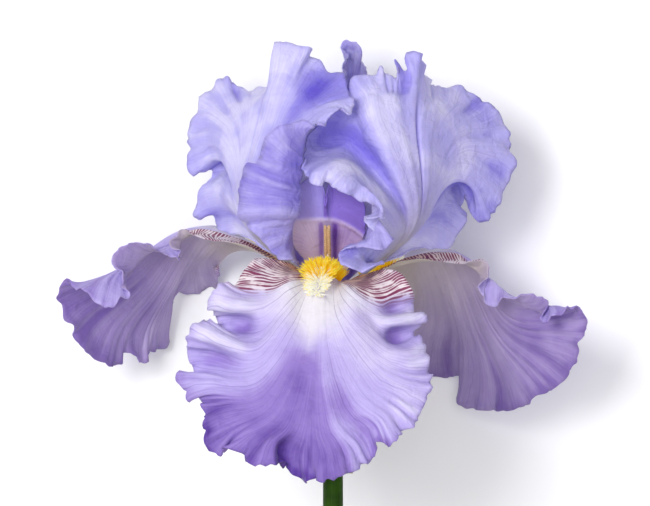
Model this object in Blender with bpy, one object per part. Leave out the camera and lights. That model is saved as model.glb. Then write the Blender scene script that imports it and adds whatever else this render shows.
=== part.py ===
"""A bearded iris in full bloom on a short cut stem, lying on its back.

The flower's own frame has its throat, the top of the perianth tube, at the origin. +Y runs up the flower,
away from the stem, and +Z points the way that the front fall points, which is up when the flower lies down.
Places in that frame are in millimetres. One empty carries the whole flower to where it rests.

A petal is a thin blade along a middle surface. The surface passes through rings of points, from the claw at
the throat out to the margin. On the margin's ring the points are numbered 0, 1, 2 and so on, and a point of
an inner ring begins with the number of the margin point that its vein runs to. Seen with its inner face
towards the eye and its tip away from the stem, a petal's margin runs from its left to its right.
"""

import math
import random

import bmesh
import bpy
from mathutils import Matrix, Vector
from mathutils.bvhtree import BVHTree

MM = 0.001

# Where the throat is, over the middle of the box that the resting flower fills.
THROAT = (3.21, 8.7, 49.88)

PETAL_THICKNESS = 0.8
STYLE_THICKNESS = 0.9
SPATHE_THICKNESS = 0.8

# Rings of corners from the claw out: the share of the way, and every how many margin numbers it has one.
PETAL_RINGS = ((0.0, 32), (0.05, 16), (0.1, 8), (0.15, 4), (0.22, 2), (0.3, 2), (0.41, 1), (0.52, 1),
               (0.65, 1), (0.78, 1), (0.89, 1), (1.0, 1))
STYLE_RINGS = ((0.0, 16), (0.25, 4), (0.4, 2), (0.6, 1), (0.8, 1), (1.0, 1))
# How many margin numbers at each end of the margin still lie beside the claw.
CLAW_SIDE = 4
# The last step of a row of corners is at least this share of its stride.
LEAST_LAST_STEP = 0.75
SHORTEST_EDGE = 1.15
SAME_PLACE = 0.01
# How a surface is smoothed: the passes, and the share of the way to the neighbours' mean in each.
CLAW_EASING = (30, 0.6)
FORM_EASING = (4, 0.5)
NORMAL_EASING = (2, 0.5)
TIGHT_EASING = (2, 0.4)
TIGHT_ROUNDS = 60

FALL_AZIMUTHS = {"front": 0.0, "left": -120.0, "right": 120.0}

LAVENDER = (0.50, 0.44, 0.86)
VIOLET = (0.42, 0.30, 0.72)
STYLE_VIOLET = (0.40, 0.26, 0.62)
BEARD_YELLOW = (0.92, 0.55, 0.02)
ANTHER_TAN = (0.55, 0.38, 0.22)
STEM_GREEN = (0.06, 0.13, 0.01)
SPATHE_GREEN = (0.22, 0.27, 0.10)

FRONT_FALL = (
    (0.0, ((0, -2.2, 0.75, 5.2), (61, 2.2, 0.75, 5.2))),
    (0.14, ((0, -3.9, 1.7, 9.0), (5, -3.6, 2.4, 13.0), (10, -4.0, 3.2, 18.0), (22, -4.8, 4.5, 24.5),
            (31, -3.6, 4.7, 27.0), (40, -1.6, 4.3, 25.5), (51, 1.2, 3.1, 18.5), (56, 2.2, 2.4, 13.0),
            (61, 3.6, 1.7, 9.0))),
    (0.3, ((0, -5.6, 2.6, 12.0), (2, -6.2, 4.0, 18.0), (4, -8.2, 5.0, 24.5), (8, -10.5, 3.0, 31.0),
           (14, -11.5, -3.0, 36.0), (20, -11.0, -10.0, 39.5), (27, -8.5, -15.0, 42.0),
           (34, -5.5, -17.0, 43.5), (41, -2.0, -14.5, 43.0), (48, 2.0, -7.5, 39.5), (54, 4.0, -0.5, 34.5),
           (58, 4.4, 3.6, 27.0), (60, 4.4, 3.5, 18.0), (61, 5.0, 2.6, 12.0))),
    (0.52, ((0, -7.2, 3.9, 14.3), (1.5, -9.0, 5.6, 20.0), (3, -12.0, 6.0, 25.5), (6, -16.0, 3.0, 31.0),
            (9, -18.5, -2.0, 35.0), (11, -20.0, -6.5, 36.8), (13, -20.5, -11.5, 37.6),
            (16, -22.0, -18.0, 41.0), (20, -22.0, -25.0, 43.5), (24, -19.5, -31.0, 46.0),
            (28, -15.5, -35.0, 48.0), (32, -11.0, -38.0, 50.5), (36, -6.0, -38.5, 51.0),
            (40, 1.0, -36.0, 50.0), (44, 8.0, -30.0, 48.0), (47, 12.0, -24.0, 46.0),
            (50, 13.5, -17.0, 43.0), (52.5, 13.5, -11.5, 39.0), (54.5, 12.5, -6.5, 37.0),
            (57, 11.0, -0.5, 34.0), (59, 8.2, 3.7, 28.5), (60, 6.8, 3.9, 21.0), (61, 6.3, 3.3, 14.3))),
    (0.78, ((0, -8.6, 5.0, 16.0), (1, -10.8, 6.6, 20.0), (2, -13.5, 7.2, 23.5), (4, -19.0, 7.4, 27.5),
            (6, -23.0, 3.5, 31.0), (8, -26.0, -0.5, 34.0), (10, -29.5, -4.2, 37.5), (12, -27.5, -9.0, 32.0),
            (14, -29.5, -13.5, 38.5), (16, -34.5, -15.0, 40.5), (18, -35.5, -20.0, 36.0),
            (20, -37.0, -25.0, 39.0), (22, -35.5, -29.5, 44.0), (24, -32.5, -34.0, 45.0),
            (26, -30.5, -40.0, 46.5), (28, -26.5, -43.0, 48.0), (30, -21.5, -45.0, 52.0),
            (32, -16.5, -45.5, 53.0), (33.5, -14.0, -46.5, 48.5), (35, -9.5, -49.5, 48.5),
            (37, -2.0, -48.5, 53.5), (39, 5.5, -47.0, 50.5), (41, 9.5, -43.5, 49.0),
            (43, 14.0, -39.0, 51.0), (45, 18.5, -36.0, 48.5), (47, 22.0, -31.0, 46.5),
            (49, 23.0, -24.0, 44.0), (51, 21.5, -17.5, 41.0), (52.3, 20.0, -13.8, 34.0),
            (53.5, 20.5, -9.6, 38.5), (55, 18.5, -5.5, 31.0), (56.5, 18.0, -1.0, 34.0),
            (58, 15.5, 3.8, 30.5), (60, 9.3, 4.5, 24.0), (61, 7.4, 3.9, 16.0))),
    (1.0, ((-9.3, 5.6, 16.8), (-12.5, 7.8, 20.0), (-15.8, 8.9, 22.5), (-19.5, 9.3, 24.0),
           (-23.0, 9.3, 25.0), (-25.7, 6.6, 28.0), (-27.7, 3.4, 30.0), (-29.2, 0.8, 32.0),
           (-31.0, 2.6, 34.5), (-34.3, 0.2, 35.5), (-36.8, -3.0, 35.0), (-36.8, -6.5, 33.5),
           (-33.5, -9.5, 31.0), (-32.6, -11.2, 32.5), (-35.8, -9.6, 36.5), (-39.5, -9.2, 39.0),
           (-42.7, -12.0, 40.0), (-43.3, -16.0, 39.0), (-42.2, -20.0, 36.0), (-42.0, -23.0, 35.5),
           (-44.6, -25.0, 39.0), (-45.3, -28.0, 41.5), (-43.0, -32.2, 41.0), (-39.8, -31.8, 41.0),
           (-38.6, -35.5, 44.5), (-38.0, -40.0, 47.5), (-37.6, -44.5, 48.5), (-34.0, -49.0, 46.5),
           (-31.0, -46.8, 46.0), (-28.0, -48.0, 49.5), (-25.5, -50.7, 53.0), (-21.0, -51.8, 55.5),
           (-16.5, -51.6, 55.0), (-13.0, -50.3, 50.0), (-12.5, -54.0, 47.0), (-9.0, -56.2, 48.5),
           (-5.0, -56.3, 53.0), (-1.0, -55.8, 56.0), (3.0, -54.2, 54.0), (7.0, -53.2, 50.5),
           (10.0, -51.0, 48.0), (12.5, -49.8, 48.5), (13.3, -45.5, 51.0), (16.5, -45.0, 53.0),
           (20.5, -43.5, 50.5), (22.5, -40.0, 48.0), (26.0, -37.3, 47.5), (28.3, -33.5, 45.5),
           (29.3, -28.5, 43.0), (29.2, -24.0, 41.0), (28.3, -19.5, 39.0), (27.0, -15.8, 36.0),
           (25.8, -13.0, 30.5), (27.2, -9.5, 34.0), (25.5, -7.0, 33.0), (23.8, -4.0, 27.5),
           (23.8, -0.5, 31.0), (22.3, 3.0, 31.0), (19.5, 5.6, 29.0), (15.5, 6.2, 26.5), (11.5, 5.3, 22.5),
           (8.0, 4.2, 16.8))),
)

LEFT_FALL = (
    (0.0, ((0, -3.4, 0.7, -4.5), (52, -5.6, 0.7, -0.7))),
    (0.14, ((0, -8.5, 5.0, -9.6), (4, -12.0, 8.0, -11.8), (10, -17.0, 12.3, -14.0),
            (20, -24.0, 15.3, -17.0), (30, -26.5, 15.3, -15.0), (40, -22.5, 13.5, -10.0),
            (48, -15.5, 9.2, -6.5), (52, -11.5, 6.0, -3.3))),
    (0.3, ((0, -10.8, 6.2, -11.8), (2, -15.5, 10.0, -14.3), (5, -24.0, 15.2, -20.0),
           (10, -31.0, 17.4, -25.0), (16, -36.5, 18.4, -27.5), (24, -41.0, 18.9, -27.0),
           (32, -42.5, 18.4, -23.5), (38, -40.5, 17.8, -21.0), (45, -35.0, 17.4, -18.0),
           (50, -21.0, 12.2, -8.5), (52, -13.5, 7.1, -3.5))),
    (0.52, ((0, -13.2, 7.6, -14.3), (1, -18.5, 11.3, -17.0), (3, -28.5, 14.8, -26.0),
            (6, -36.0, 11.0, -35.0), (9, -42.5, 7.0, -38.0), (12, -46.5, 2.0, -37.5),
            (16, -50.5, -1.0, -34.0), (20, -54.5, 0.0, -29.5), (24, -58.5, 3.5, -24.5),
            (28, -60.0, 7.5, -20.0), (32, -58.5, 9.5, -17.0), (36, -55.5, 11.0, -16.5),
            (40, -50.5, 13.2, -18.5), (44, -45.5, 14.8, -20.5), (48, -37.5, 17.2, -18.0),
            (51, -22.0, 12.0, -8.0), (52, -16.3, 8.6, -3.7))),
    (0.78, ((0, -15.6, 8.7, -16.8), (1, -21.0, 12.2, -20.8), (2, -26.0, 13.8, -26.0),
            (4, -32.0, 11.0, -33.5), (6, -36.0, 6.0, -42.0), (8, -42.0, 3.0, -45.5),
            (10, -47.0, -1.5, -42.0), (12, -49.5, -10.0, -41.5), (14, -54.5, -12.0, -37.0),
            (16, -57.5, -13.5, -35.0), (18, -61.0, -12.5, -29.5), (20, -65.0, -13.0, -25.0),
            (22, -69.5, -10.5, -18.5), (24, -73.0, -6.5, -13.0), (26, -75.5, -1.5, -9.5),
            (28, -75.5, 2.0, -5.0), (30, -72.5, 2.2, -1.5), (32, -68.0, 2.4, -0.5), (34, -63.0, 3.0, -4.5),
            (36, -60.5, 5.2, -9.0), (38, -59.5, 8.7, -10.0), (40, -56.0, 12.0, -11.5),
            (42, -50.8, 11.6, -16.0), (44, -46.3, 12.2, -18.0), (46, -45.6, 15.5, -19.0),
            (48, -39.0, 16.7, -16.0), (50, -29.3, 15.2, -11.0), (51, -24.0, 12.9, -8.0),
            (52, -18.3, 9.5, -4.0))),
    (1.0, ((-17.5, 9.4, -18.7), (-22.3, 11.9, -23.4), (-27.0, 12.6, -28.8), (-30.8, 11.5, -33.5),
           (-33.6, 8.6, -37.0), (-35.5, 6.3, -40.7), (-34.5, 2.5, -45.0), (-37.0, -0.3, -49.7),
           (-42.0, -1.0, -49.7), (-47.5, -0.8, -47.0), (-50.0, -4.5, -43.0), (-51.0, -10.0, -42.5),
           (-50.0, -17.2, -45.0), (-53.5, -18.6, -42.0), (-55.6, -18.5, -38.0), (-56.3, -22.4, -36.0),
           (-59.2, -22.3, -35.0), (-59.8, -20.0, -32.0), (-62.8, -19.0, -30.0), (-64.0, -22.8, -28.0),
           (-67.0, -22.8, -24.0), (-70.5, -21.5, -19.0), (-74.0, -18.6, -14.0), (-76.3, -15.2, -10.0),
           (-78.3, -11.3, -8.0), (-80.2, -8.5, -6.0), (-80.2, -4.5, -5.0), (-82.2, -2.5, -3.0),
           (-82.0, 1.0, -1.0), (-80.0, 2.6, 0.0), (-76.5, 0.4, 4.0), (-73.0, -0.6, 6.0), (-69.8, -4.0, 7.0),
           (-66.0, -5.0, 6.5), (-62.8, -3.2, 4.5), (-61.6, 0.5, 1.0), (-63.0, 3.5, -1.0),
           (-65.2, 6.5, -1.5), (-65.0, 10.5, -2.0), (-62.0, 13.7, -4.0), (-58.0, 14.2, -7.0),
           (-54.0, 13.3, -10.0), (-50.5, 10.8, -13.5), (-46.5, 8.4, -16.0), (-45.5, 10.0, -15.5),
           (-48.2, 13.0, -15.0), (-47.8, 16.3, -16.0), (-44.5, 18.0, -17.0), (-40.0, 15.9, -12.5),
           (-35.5, 14.8, -10.0), (-30.0, 14.5, -8.0), (-25.0, 13.0, -6.0), (-19.5, 10.0, -4.2))),
)

RIGHT_FALL = (
    (0.0, ((0, 5.6, 0.7, -0.7), (44, 3.4, 0.7, -4.5))),
    (0.14, ((0, 10.5, 3.8, -3.1), (4, 14.0, 5.9, -5.6), (10, 20.0, 8.6, -9.0), (18, 24.5, 10.4, -12.5),
            (26, 24.0, 10.8, -15.5), (34, 18.0, 9.6, -15.5), (40, 12.2, 6.6, -11.3), (44, 7.8, 3.8, -8.8))),
    (0.3, ((0, 12.5, 4.9, -3.3), (2, 20.0, 8.4, -7.5), (5, 31.0, 10.6, -13.0), (10, 35.5, 11.2, -17.5),
           (16, 38.0, 11.0, -21.0), (23, 37.5, 11.5, -25.0), (30, 33.5, 12.0, -27.0),
           (36, 26.5, 11.5, -24.5), (41, 18.5, 9.2, -18.5), (43, 13.8, 6.8, -13.5), (44, 9.2, 4.6, -10.6))),
    (0.52, ((0, 14.5, 6.0, -3.5), (1, 20.5, 8.5, -7.5), (3, 33.0, 9.6, -13.0), (7, 41.5, 7.2, -18.5),
            (11, 46.5, 4.0, -19.0), (15, 51.0, -0.5, -19.5), (19, 53.0, -4.0, -21.0),
            (23, 52.5, -9.0, -24.0), (27, 49.0, -12.0, -29.0), (31, 43.5, -12.5, -35.0),
            (35, 37.0, -9.0, -40.5), (38, 30.0, -4.5, -41.5), (41, 22.0, 2.5, -31.5),
            (43, 17.2, 6.2, -18.0), (44, 11.0, 5.3, -13.0))),
    (0.78, ((0, 16.0, 6.7, -3.8), (2, 28.0, 9.6, -10.5), (4, 38.0, 8.6, -14.8), (6, 44.0, 7.4, -17.3),
            (8, 45.0, 3.5, -16.5), (9.5, 45.5, 1.5, -17.0), (11, 48.5, 1.5, -15.5), (13, 54.0, -1.8, -13.0),
            (15, 60.5, -4.5, -9.5), (17, 63.0, -6.8, -7.5), (19, 66.5, -4.8, -5.0), (21, 69.5, -6.5, -8.5),
            (23, 68.5, -12.5, -11.5), (25, 65.0, -19.0, -15.5), (27, 60.0, -24.0, -21.5),
            (29, 54.5, -27.5, -28.0), (31, 48.0, -28.0, -34.5), (33, 42.0, -27.0, -40.0),
            (35, 38.0, -21.5, -45.0), (37, 31.5, -18.5, -48.0), (39, 24.0, -12.0, -46.0),
            (41, 19.5, -2.5, -35.5), (43, 17.9, 5.3, -20.5), (44, 12.6, 5.6, -15.2))),
    (1.0, ((17.0, 7.1, -3.9), (22.0, 9.0, -5.5), (28.0, 9.3, -8.0), (34.0, 8.5, -10.5), (38.5, 7.8, -12.0),
           (41.5, 8.4, -14.0), (45.0, 9.2, -15.0), (47.2, 7.0, -14.0), (46.3, 3.5, -13.5),
           (45.0, -0.5, -14.0), (45.8, -4.0, -13.0), (48.5, -5.0, -11.0), (51.5, -3.0, -10.0),
           (55.0, -1.8, -9.0), (59.0, -1.6, -7.0), (63.0, -2.4, -5.0), (64.8, -5.2, -4.0),
           (62.6, -8.6, -3.0), (64.5, -9.8, -1.5), (67.5, -7.0, 0.0), (71.5, -6.2, 1.0), (74.7, -4.0, -1.0),
           (75.8, -8.5, -3.0), (75.4, -13.0, -5.0), (74.2, -18.0, -7.0), (72.3, -23.0, -9.0),
           (69.5, -27.5, -12.5), (65.5, -30.5, -17.0), (61.0, -32.5, -22.0), (57.0, -35.5, -27.0),
           (53.0, -37.0, -31.5), (48.5, -36.8, -35.0), (44.0, -36.2, -38.5), (40.5, -35.9, -41.5),
           (38.2, -33.5, -43.5), (39.8, -29.0, -45.0), (36.5, -26.0, -47.5), (32.0, -26.8, -49.0),
           (27.0, -25.5, -49.5), (22.5, -20.0, -48.0), (20.5, -12.5, -43.0), (17.6, -6.0, -37.0),
           (16.2, -0.3, -30.3), (15.2, 4.4, -23.0), (13.5, 5.8, -16.5))),
)

LEFT_STANDARD = (
    (0.0, ((0, -5.0, 0.65, 0.9), (53, -3.3, 0.65, 3.9))),
    (0.14, ((0, -13.5, 8.0, 5.5), (26, -14.5, 8.6, 8.3), (53, -8.5, 6.0, 8.5))),
    (0.3, ((0, -16.5, 10.0, 6.0), (6, -22.5, 15.0, 9.0), (13, -25.0, 19.0, 11.5), (22, -26.0, 22.0, 13.5),
           (30, -25.0, 22.0, 16.0), (38, -20.5, 19.0, 18.5), (46, -14.5, 14.0, 17.0),
           (53, -10.0, 7.0, 10.5))),
    (0.52, ((0, -18.0, 11.0, 6.2), (1, -20.5, 14.2, 5.6), (3, -26.5, 19.0, 3.5), (7, -30.0, 26.0, 4.0),
            (11, -30.5, 34.0, 5.0), (15, -29.0, 43.0, 6.0), (20, -24.5, 50.0, 8.0), (25, -20.5, 52.0, 12.0),
            (30, -14.5, 50.0, 17.5), (34, -11.0, 45.0, 22.0), (38, -10.5, 39.0, 25.5),
            (42, -11.0, 33.0, 26.5), (46, -12.0, 25.0, 25.5), (50, -12.0, 16.5, 21.5),
            (52, -11.2, 11.5, 16.5), (53, -11.2, 8.0, 12.3))),
    (0.78, ((0, -19.3, 11.7, 6.2), (1, -23.8, 16.6, 3.2), (2, -28.5, 20.0, -1.5), (4, -33.0, 23.0, -7.0),
            (6, -35.0, 27.0, -7.5), (8, -33.0, 33.5, -10.0), (9, -31.5, 37.0, -13.0),
            (11, -35.5, 39.0, -9.0), (13, -37.5, 45.0, -9.5), (15, -36.0, 52.0, -11.0),
            (17, -32.0, 57.0, -12.0), (19, -26.5, 57.5, -9.0), (21, -20.0, 59.0, -7.0),
            (23, -17.0, 62.5, -1.0), (25, -18.0, 64.5, 8.0), (27, -13.5, 65.0, 12.0),
            (29, -9.0, 63.0, 12.5), (31, -4.0, 60.0, 15.0), (33, -1.0, 55.5, 20.0), (35, -3.5, 52.0, 25.0),
            (37, -6.0, 48.5, 30.0), (39, -9.3, 44.0, 31.5), (41, -10.2, 39.0, 31.5),
            (43, -10.5, 34.0, 31.5), (45, -10.5, 28.5, 31.0), (47, -11.0, 23.0, 30.0),
            (49, -11.3, 17.5, 28.5), (51, -11.0, 12.8, 26.0), (52, -10.6, 12.0, 20.5),
            (53, -11.8, 8.4, 13.2))),
    (0.9, ((0, -20.0, 12.0, 6.2), (1, -24.9, 16.9, 1.9), (2, -29.5, 19.4, -3.3), (3, -33.8, 20.8, -8.6),
           (5, -38.0, 23.5, -12.0), (7, -37.5, 29.5, -11.0), (9, -33.5, 37.0, -16.0),
           (11, -39.0, 36.5, -12.5), (13, -41.3, 43.5, -13.5), (15, -38.8, 53.3, -15.5),
           (17, -33.8, 60.5, -17.0), (19, -27.5, 59.5, -14.5), (21, -18.5, 60.0, -13.5),
           (23, -14.5, 65.5, -4.0), (25, -17.9, 70.0, 6.0), (27, -11.5, 69.5, 11.0), (29, -7.0, 66.5, 9.5),
           (31, -0.5, 63.3, 12.5), (33, 3.5, 56.0, 21.5), (35, -0.5, 53.2, 27.0), (37, -4.0, 48.8, 31.5),
           (39, -12.0, 47.5, 35.5), (41, -15.0, 42.0, 36.5), (43, -16.0, 36.0, 36.5),
           (45, -17.5, 30.0, 36.0), (47, -17.5, 24.0, 35.0), (49, -15.5, 17.0, 32.5),
           (51, -12.5, 11.5, 28.5), (52, -10.7, 10.9, 22.0), (53, -12.2, 8.6, 13.6))),
    (1.0, ((-20.5, 12.2, 6.2), (-25.7, 16.2, 0.8), (-30.3, 17.6, -4.6), (-34.8, 18.7, -9.0),
           (-36.2, 21.5, -12.0), (-40.3, 21.7, -14.0), (-41.4, 25.0, -13.5), (-39.5, 29.0, -13.0),
           (-37.0, 33.3, -13.5), (-35.8, 35.8, -16.5), (-38.8, 35.5, -14.5), (-42.0, 34.4, -14.0),
           (-43.9, 38.6, -15.0), (-43.8, 43.0, -16.0), (-42.8, 48.5, -17.5), (-41.0, 54.0, -19.0),
           (-38.6, 59.0, -20.5), (-35.0, 62.6, -21.0), (-31.6, 64.0, -20.0), (-28.0, 61.3, -18.0),
           (-23.5, 60.3, -19.0), (-18.0, 60.8, -18.0), (-14.0, 63.0, -13.0), (-13.5, 67.0, -6.0),
           (-15.0, 71.5, -1.0), (-17.6, 74.0, 4.0), (-13.8, 74.0, 7.0), (-9.8, 73.0, 9.5),
           (-6.6, 73.0, 9.0), (-5.2, 69.5, 7.0), (-1.5, 66.9, 9.0), (2.5, 65.3, 11.0), (4.5, 61.0, 16.0),
           (6.3, 56.0, 21.5), (5.5, 52.0, 25.0), (2.3, 53.6, 27.5), (-0.8, 51.5, 28.5), (-2.6, 48.4, 31.0),
           (-6.5, 49.8, 34.0), (-11.0, 50.1, 35.0), (-15.5, 49.2, 35.5), (-19.0, 46.6, 34.5),
           (-21.3, 42.0, 33.5), (-22.0, 37.9, 34.0), (-25.5, 37.7, 32.5), (-26.9, 33.0, 32.5),
           (-28.1, 28.0, 32.5), (-27.8, 23.5, 32.0), (-25.4, 19.0, 31.0), (-21.8, 15.4, 30.0),
           (-17.8, 12.5, 29.0), (-14.2, 9.0, 27.5), (-10.0, 8.3, 22.0), (-12.3, 8.8, 14.0))),
)

RIGHT_STANDARD = (
    (0.0, ((0, 3.3, 0.65, 3.9), (60, 5.0, 0.65, 0.9))),
    (0.14, ((0, 8.0, 4.3, 8.6), (37, 12.0, 6.5, 8.0), (60, 12.0, 6.5, 4.5))),
    (0.3, ((0, 9.5, 5.0, 11.0), (8, 13.5, 9.0, 16.0), (16, 18.5, 14.5, 18.5), (24, 22.0, 18.5, 18.0),
           (32, 24.5, 20.0, 16.5), (38, 25.5, 20.0, 14.5), (46, 25.5, 19.0, 12.0), (54, 23.5, 15.5, 9.5),
           (60, 15.0, 8.0, 5.5))),
    (0.52, ((0, 10.2, 5.5, 12.3), (1, 10.0, 7.0, 15.0), (4, 9.0, 9.0, 21.5), (8, 10.5, 14.0, 25.0),
            (12, 12.0, 21.0, 27.0), (16, 11.5, 28.0, 27.5), (20, 8.5, 34.0, 28.0), (24, 7.5, 40.5, 17.5),
            (28, 12.0, 48.0, 23.5), (32, 18.0, 52.0, 19.5), (37, 25.3, 50.0, 15.0), (41, 31.0, 48.0, 8.0),
            (45, 35.0, 43.0, 3.0), (49, 36.0, 36.0, 0.0), (52, 34.0, 30.0, 0.0), (55, 31.0, 24.0, 3.0),
            (58, 27.0, 17.0, 5.5), (60, 17.0, 8.8, 6.3))),
    (0.78, ((0, 11.0, 6.0, 13.3), (1, 11.3, 8.0, 18.5), (2, 11.5, 8.6, 25.0), (4, 8.5, 9.0, 30.0),
            (6, 7.0, 12.5, 28.0), (8, 11.0, 15.5, 31.5), (10, 15.0, 19.0, 30.0), (12, 13.5, 23.0, 30.5),
            (14, 14.5, 26.0, 35.5), (16, 10.5, 30.0, 33.5), (18, 6.0, 33.0, 35.0), (20, 1.0, 35.5, 35.0),
            (22, -4.0, 37.0, 32.5), (24, -2.5, 42.5, 16.5), (26, 2.5, 50.0, 16.5), (28, 8.5, 57.0, 17.5),
            (30, 13.5, 60.0, 16.0), (33, 19.0, 59.5, 14.5), (35, 22.5, 61.5, 12.5), (37, 26.2, 63.0, 11.0),
            (39, 30.0, 57.5, 1.0), (41, 36.0, 57.0, -5.5), (43, 41.0, 54.0, -8.0), (45, 45.5, 48.5, -10.0),
            (47, 47.5, 41.5, -11.0), (49, 46.0, 34.0, -11.0), (51, 43.0, 29.0, -10.5),
            (52.5, 41.0, 31.0, -13.5), (53.5, 38.5, 31.5, -14.5), (55, 37.5, 25.5, -6.0),
            (57, 34.0, 17.5, -3.0), (59, 25.0, 13.8, 3.5), (60, 18.7, 9.4, 7.0))),
    (0.9, ((0, 11.3, 6.3, 13.8), (1, 12.9, 8.3, 20.0), (2, 13.0, 8.0, 27.0), (4, 7.0, 7.6, 32.5),
           (6, 4.5, 12.3, 29.0), (8, 10.5, 13.8, 33.0), (10, 16.2, 17.0, 30.3), (12, 11.0, 21.7, 30.8),
           (14, 15.3, 23.0, 37.5), (16, 10.0, 27.8, 32.8), (18, 4.3, 31.0, 37.0), (20, -1.0, 34.0, 36.5),
           (22, -6.5, 35.0, 34.5), (24, -6.0, 42.3, 18.5), (26, 0.0, 50.8, 17.5), (28, 6.3, 58.5, 16.3),
           (30, 12.5, 62.3, 14.5), (32, 16.8, 62.3, 13.8), (33, 19.3, 61.6, 13.5), (34, 20.0, 65.3, 12.8),
           (35, 22.2, 64.4, 11.8), (37, 26.3, 67.5, 10.0), (39, 29.3, 59.8, -2.0), (41, 36.2, 59.5, -8.5),
           (43, 43.0, 56.0, -11.5), (45, 49.5, 49.8, -13.5), (47, 51.8, 40.5, -14.5),
           (49, 49.5, 29.8, -14.5), (51, 44.0, 23.8, -13.5), (52.5, 41.6, 27.5, -16.0),
           (53.5, 39.4, 29.0, -16.0), (55, 39.2, 23.3, -8.5), (57, 34.8, 15.0, -4.5), (59, 25.3, 13.2, 3.2),
           (60, 19.5, 9.7, 7.2))),
    (1.0, ((11.5, 6.5, 14.0), (14.5, 9.0, 21.0), (14.5, 8.0, 28.0), (11.0, 6.2, 32.0), (6.5, 6.2, 33.5),
           (2.8, 8.2, 33.0), (2.4, 11.4, 31.0), (5.5, 13.0, 29.5), (10.0, 12.6, 33.0), (15.0, 12.0, 34.5),
           (17.5, 15.0, 31.0), (13.0, 17.5, 30.5), (8.8, 20.5, 32.0), (11.5, 22.3, 35.5),
           (15.8, 21.0, 37.0), (15.0, 24.5, 34.0), (10.0, 26.0, 32.5), (6.5, 27.5, 34.0), (3.0, 29.4, 36.0),
           (0.0, 31.0, 36.5), (-2.2, 32.6, 35.5), (-4.8, 31.0, 36.0), (-7.6, 33.6, 34.5),
           (-8.2, 37.5, 30.0), (-8.0, 42.0, 23.0), (-6.0, 47.0, 20.0), (-2.0, 51.5, 18.5),
           (1.5, 56.0, 17.0), (4.5, 60.0, 15.0), (8.0, 64.3, 13.0), (11.8, 64.3, 13.0), (14.6, 67.5, 13.0),
           (16.5, 64.8, 12.0), (19.6, 63.0, 12.0), (18.8, 69.0, 12.0), (22.0, 66.0, 10.5),
           (22.3, 70.8, 10.0), (26.4, 71.3, 9.0), (27.5, 66.0, 2.0), (29.0, 61.3, -4.0), (32.5, 60.6, -8.0),
           (36.5, 61.5, -11.0), (41.0, 60.2, -13.0), (44.5, 57.7, -14.0), (48.5, 55.0, -15.0),
           (52.0, 50.5, -16.0), (54.0, 44.5, -17.0), (54.4, 38.5, -17.5), (53.4, 32.5, -17.5),
           (51.0, 27.4, -17.0), (48.4, 22.8, -16.0), (44.5, 20.2, -15.5), (42.3, 22.5, -16.0),
           (40.6, 28.5, -18.5), (39.6, 27.0, -14.0), (40.3, 22.0, -11.0), (38.8, 17.0, -9.0),
           (35.5, 13.0, -6.0), (30.5, 12.3, -2.0), (25.5, 12.8, 3.0), (20.5, 10.0, 7.5))),
)

REAR_STANDARD = (
    (0.0, ((0, 1.7, 0.65, -4.8), (33, -1.7, 0.65, -4.8))),
    (0.14, ((0, 3.2, 4.0, -8.5), (16.5, 0.0, 5.5, -10.5), (33, -3.2, 4.0, -8.5))),
    (0.3, ((0, 4.0, 5.3, -9.5), (4, 8.0, 14.0, -19.0), (8, 7.5, 19.0, -24.0), (16.5, 0.5, 21.0, -26.0),
           (25, -7.0, 19.0, -24.0), (29, -8.0, 14.0, -19.0), (33, -4.0, 5.3, -9.5))),
    (0.52, ((0, 4.7, 6.3, -10.2), (3, 15.0, 18.5, -27.0), (6, 19.0, 30.0, -37.0), (9, 15.0, 39.0, -40.0),
            (12, 9.0, 45.0, -39.0), (16.5, 2.5, 48.0, -40.5), (20, -2.0, 45.5, -39.5),
            (24, -13.0, 39.0, -40.0), (27, -18.5, 30.0, -37.5), (30, -15.0, 18.5, -27.0),
            (33, -4.7, 6.3, -10.2))),
    (0.78, ((0, 5.1, 7.0, -10.7), (2, 16.0, 17.0, -25.0), (4, 25.0, 27.0, -39.0), (6, 25.5, 36.5, -47.0),
            (8, 25.0, 45.0, -42.0), (10, 18.0, 51.0, -44.5), (12, 11.0, 55.5, -39.0),
            (14, 8.0, 61.0, -33.0), (16.5, 6.0, 64.0, -32.0), (19, 3.0, 60.5, -34.0),
            (21, -4.0, 54.5, -41.0), (23, -13.5, 50.5, -43.0), (25, -21.5, 46.0, -42.5),
            (27, -25.5, 36.5, -47.0), (29, -24.5, 27.0, -39.0), (31, -16.0, 17.0, -25.0),
            (33, -5.1, 7.0, -10.7))),
    (1.0, ((5.5, 7.5, -11.0), (12.0, 12.0, -16.0), (19.0, 17.0, -24.0), (25.0, 22.0, -33.0),
           (30.0, 28.0, -40.0), (31.5, 34.0, -46.0), (28.5, 39.0, -49.5), (31.0, 44.0, -44.0),
           (30.0, 50.0, -40.0), (25.0, 54.0, -39.0), (20.5, 57.0, -42.0), (15.0, 59.5, -40.0),
           (11.5, 62.0, -33.0), (10.3, 66.8, -26.0), (9.2, 69.5, -23.0), (9.6, 72.0, -20.0),
           (7.5, 74.3, -18.0), (5.2, 73.8, -19.0), (3.6, 73.8, -20.0), (3.7, 66.0, -25.0),
           (0.5, 61.5, -31.0), (-5.0, 59.5, -38.0), (-11.0, 57.5, -42.0), (-16.0, 55.5, -40.0),
           (-21.0, 55.0, -42.0), (-26.0, 51.0, -41.0), (-29.5, 46.0, -44.0), (-28.0, 41.0, -49.5),
           (-31.0, 35.0, -46.0), (-29.5, 28.5, -40.0), (-25.0, 22.5, -33.0), (-19.0, 17.0, -24.0),
           (-12.0, 12.0, -16.0), (-5.5, 7.5, -11.0))),
)

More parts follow.
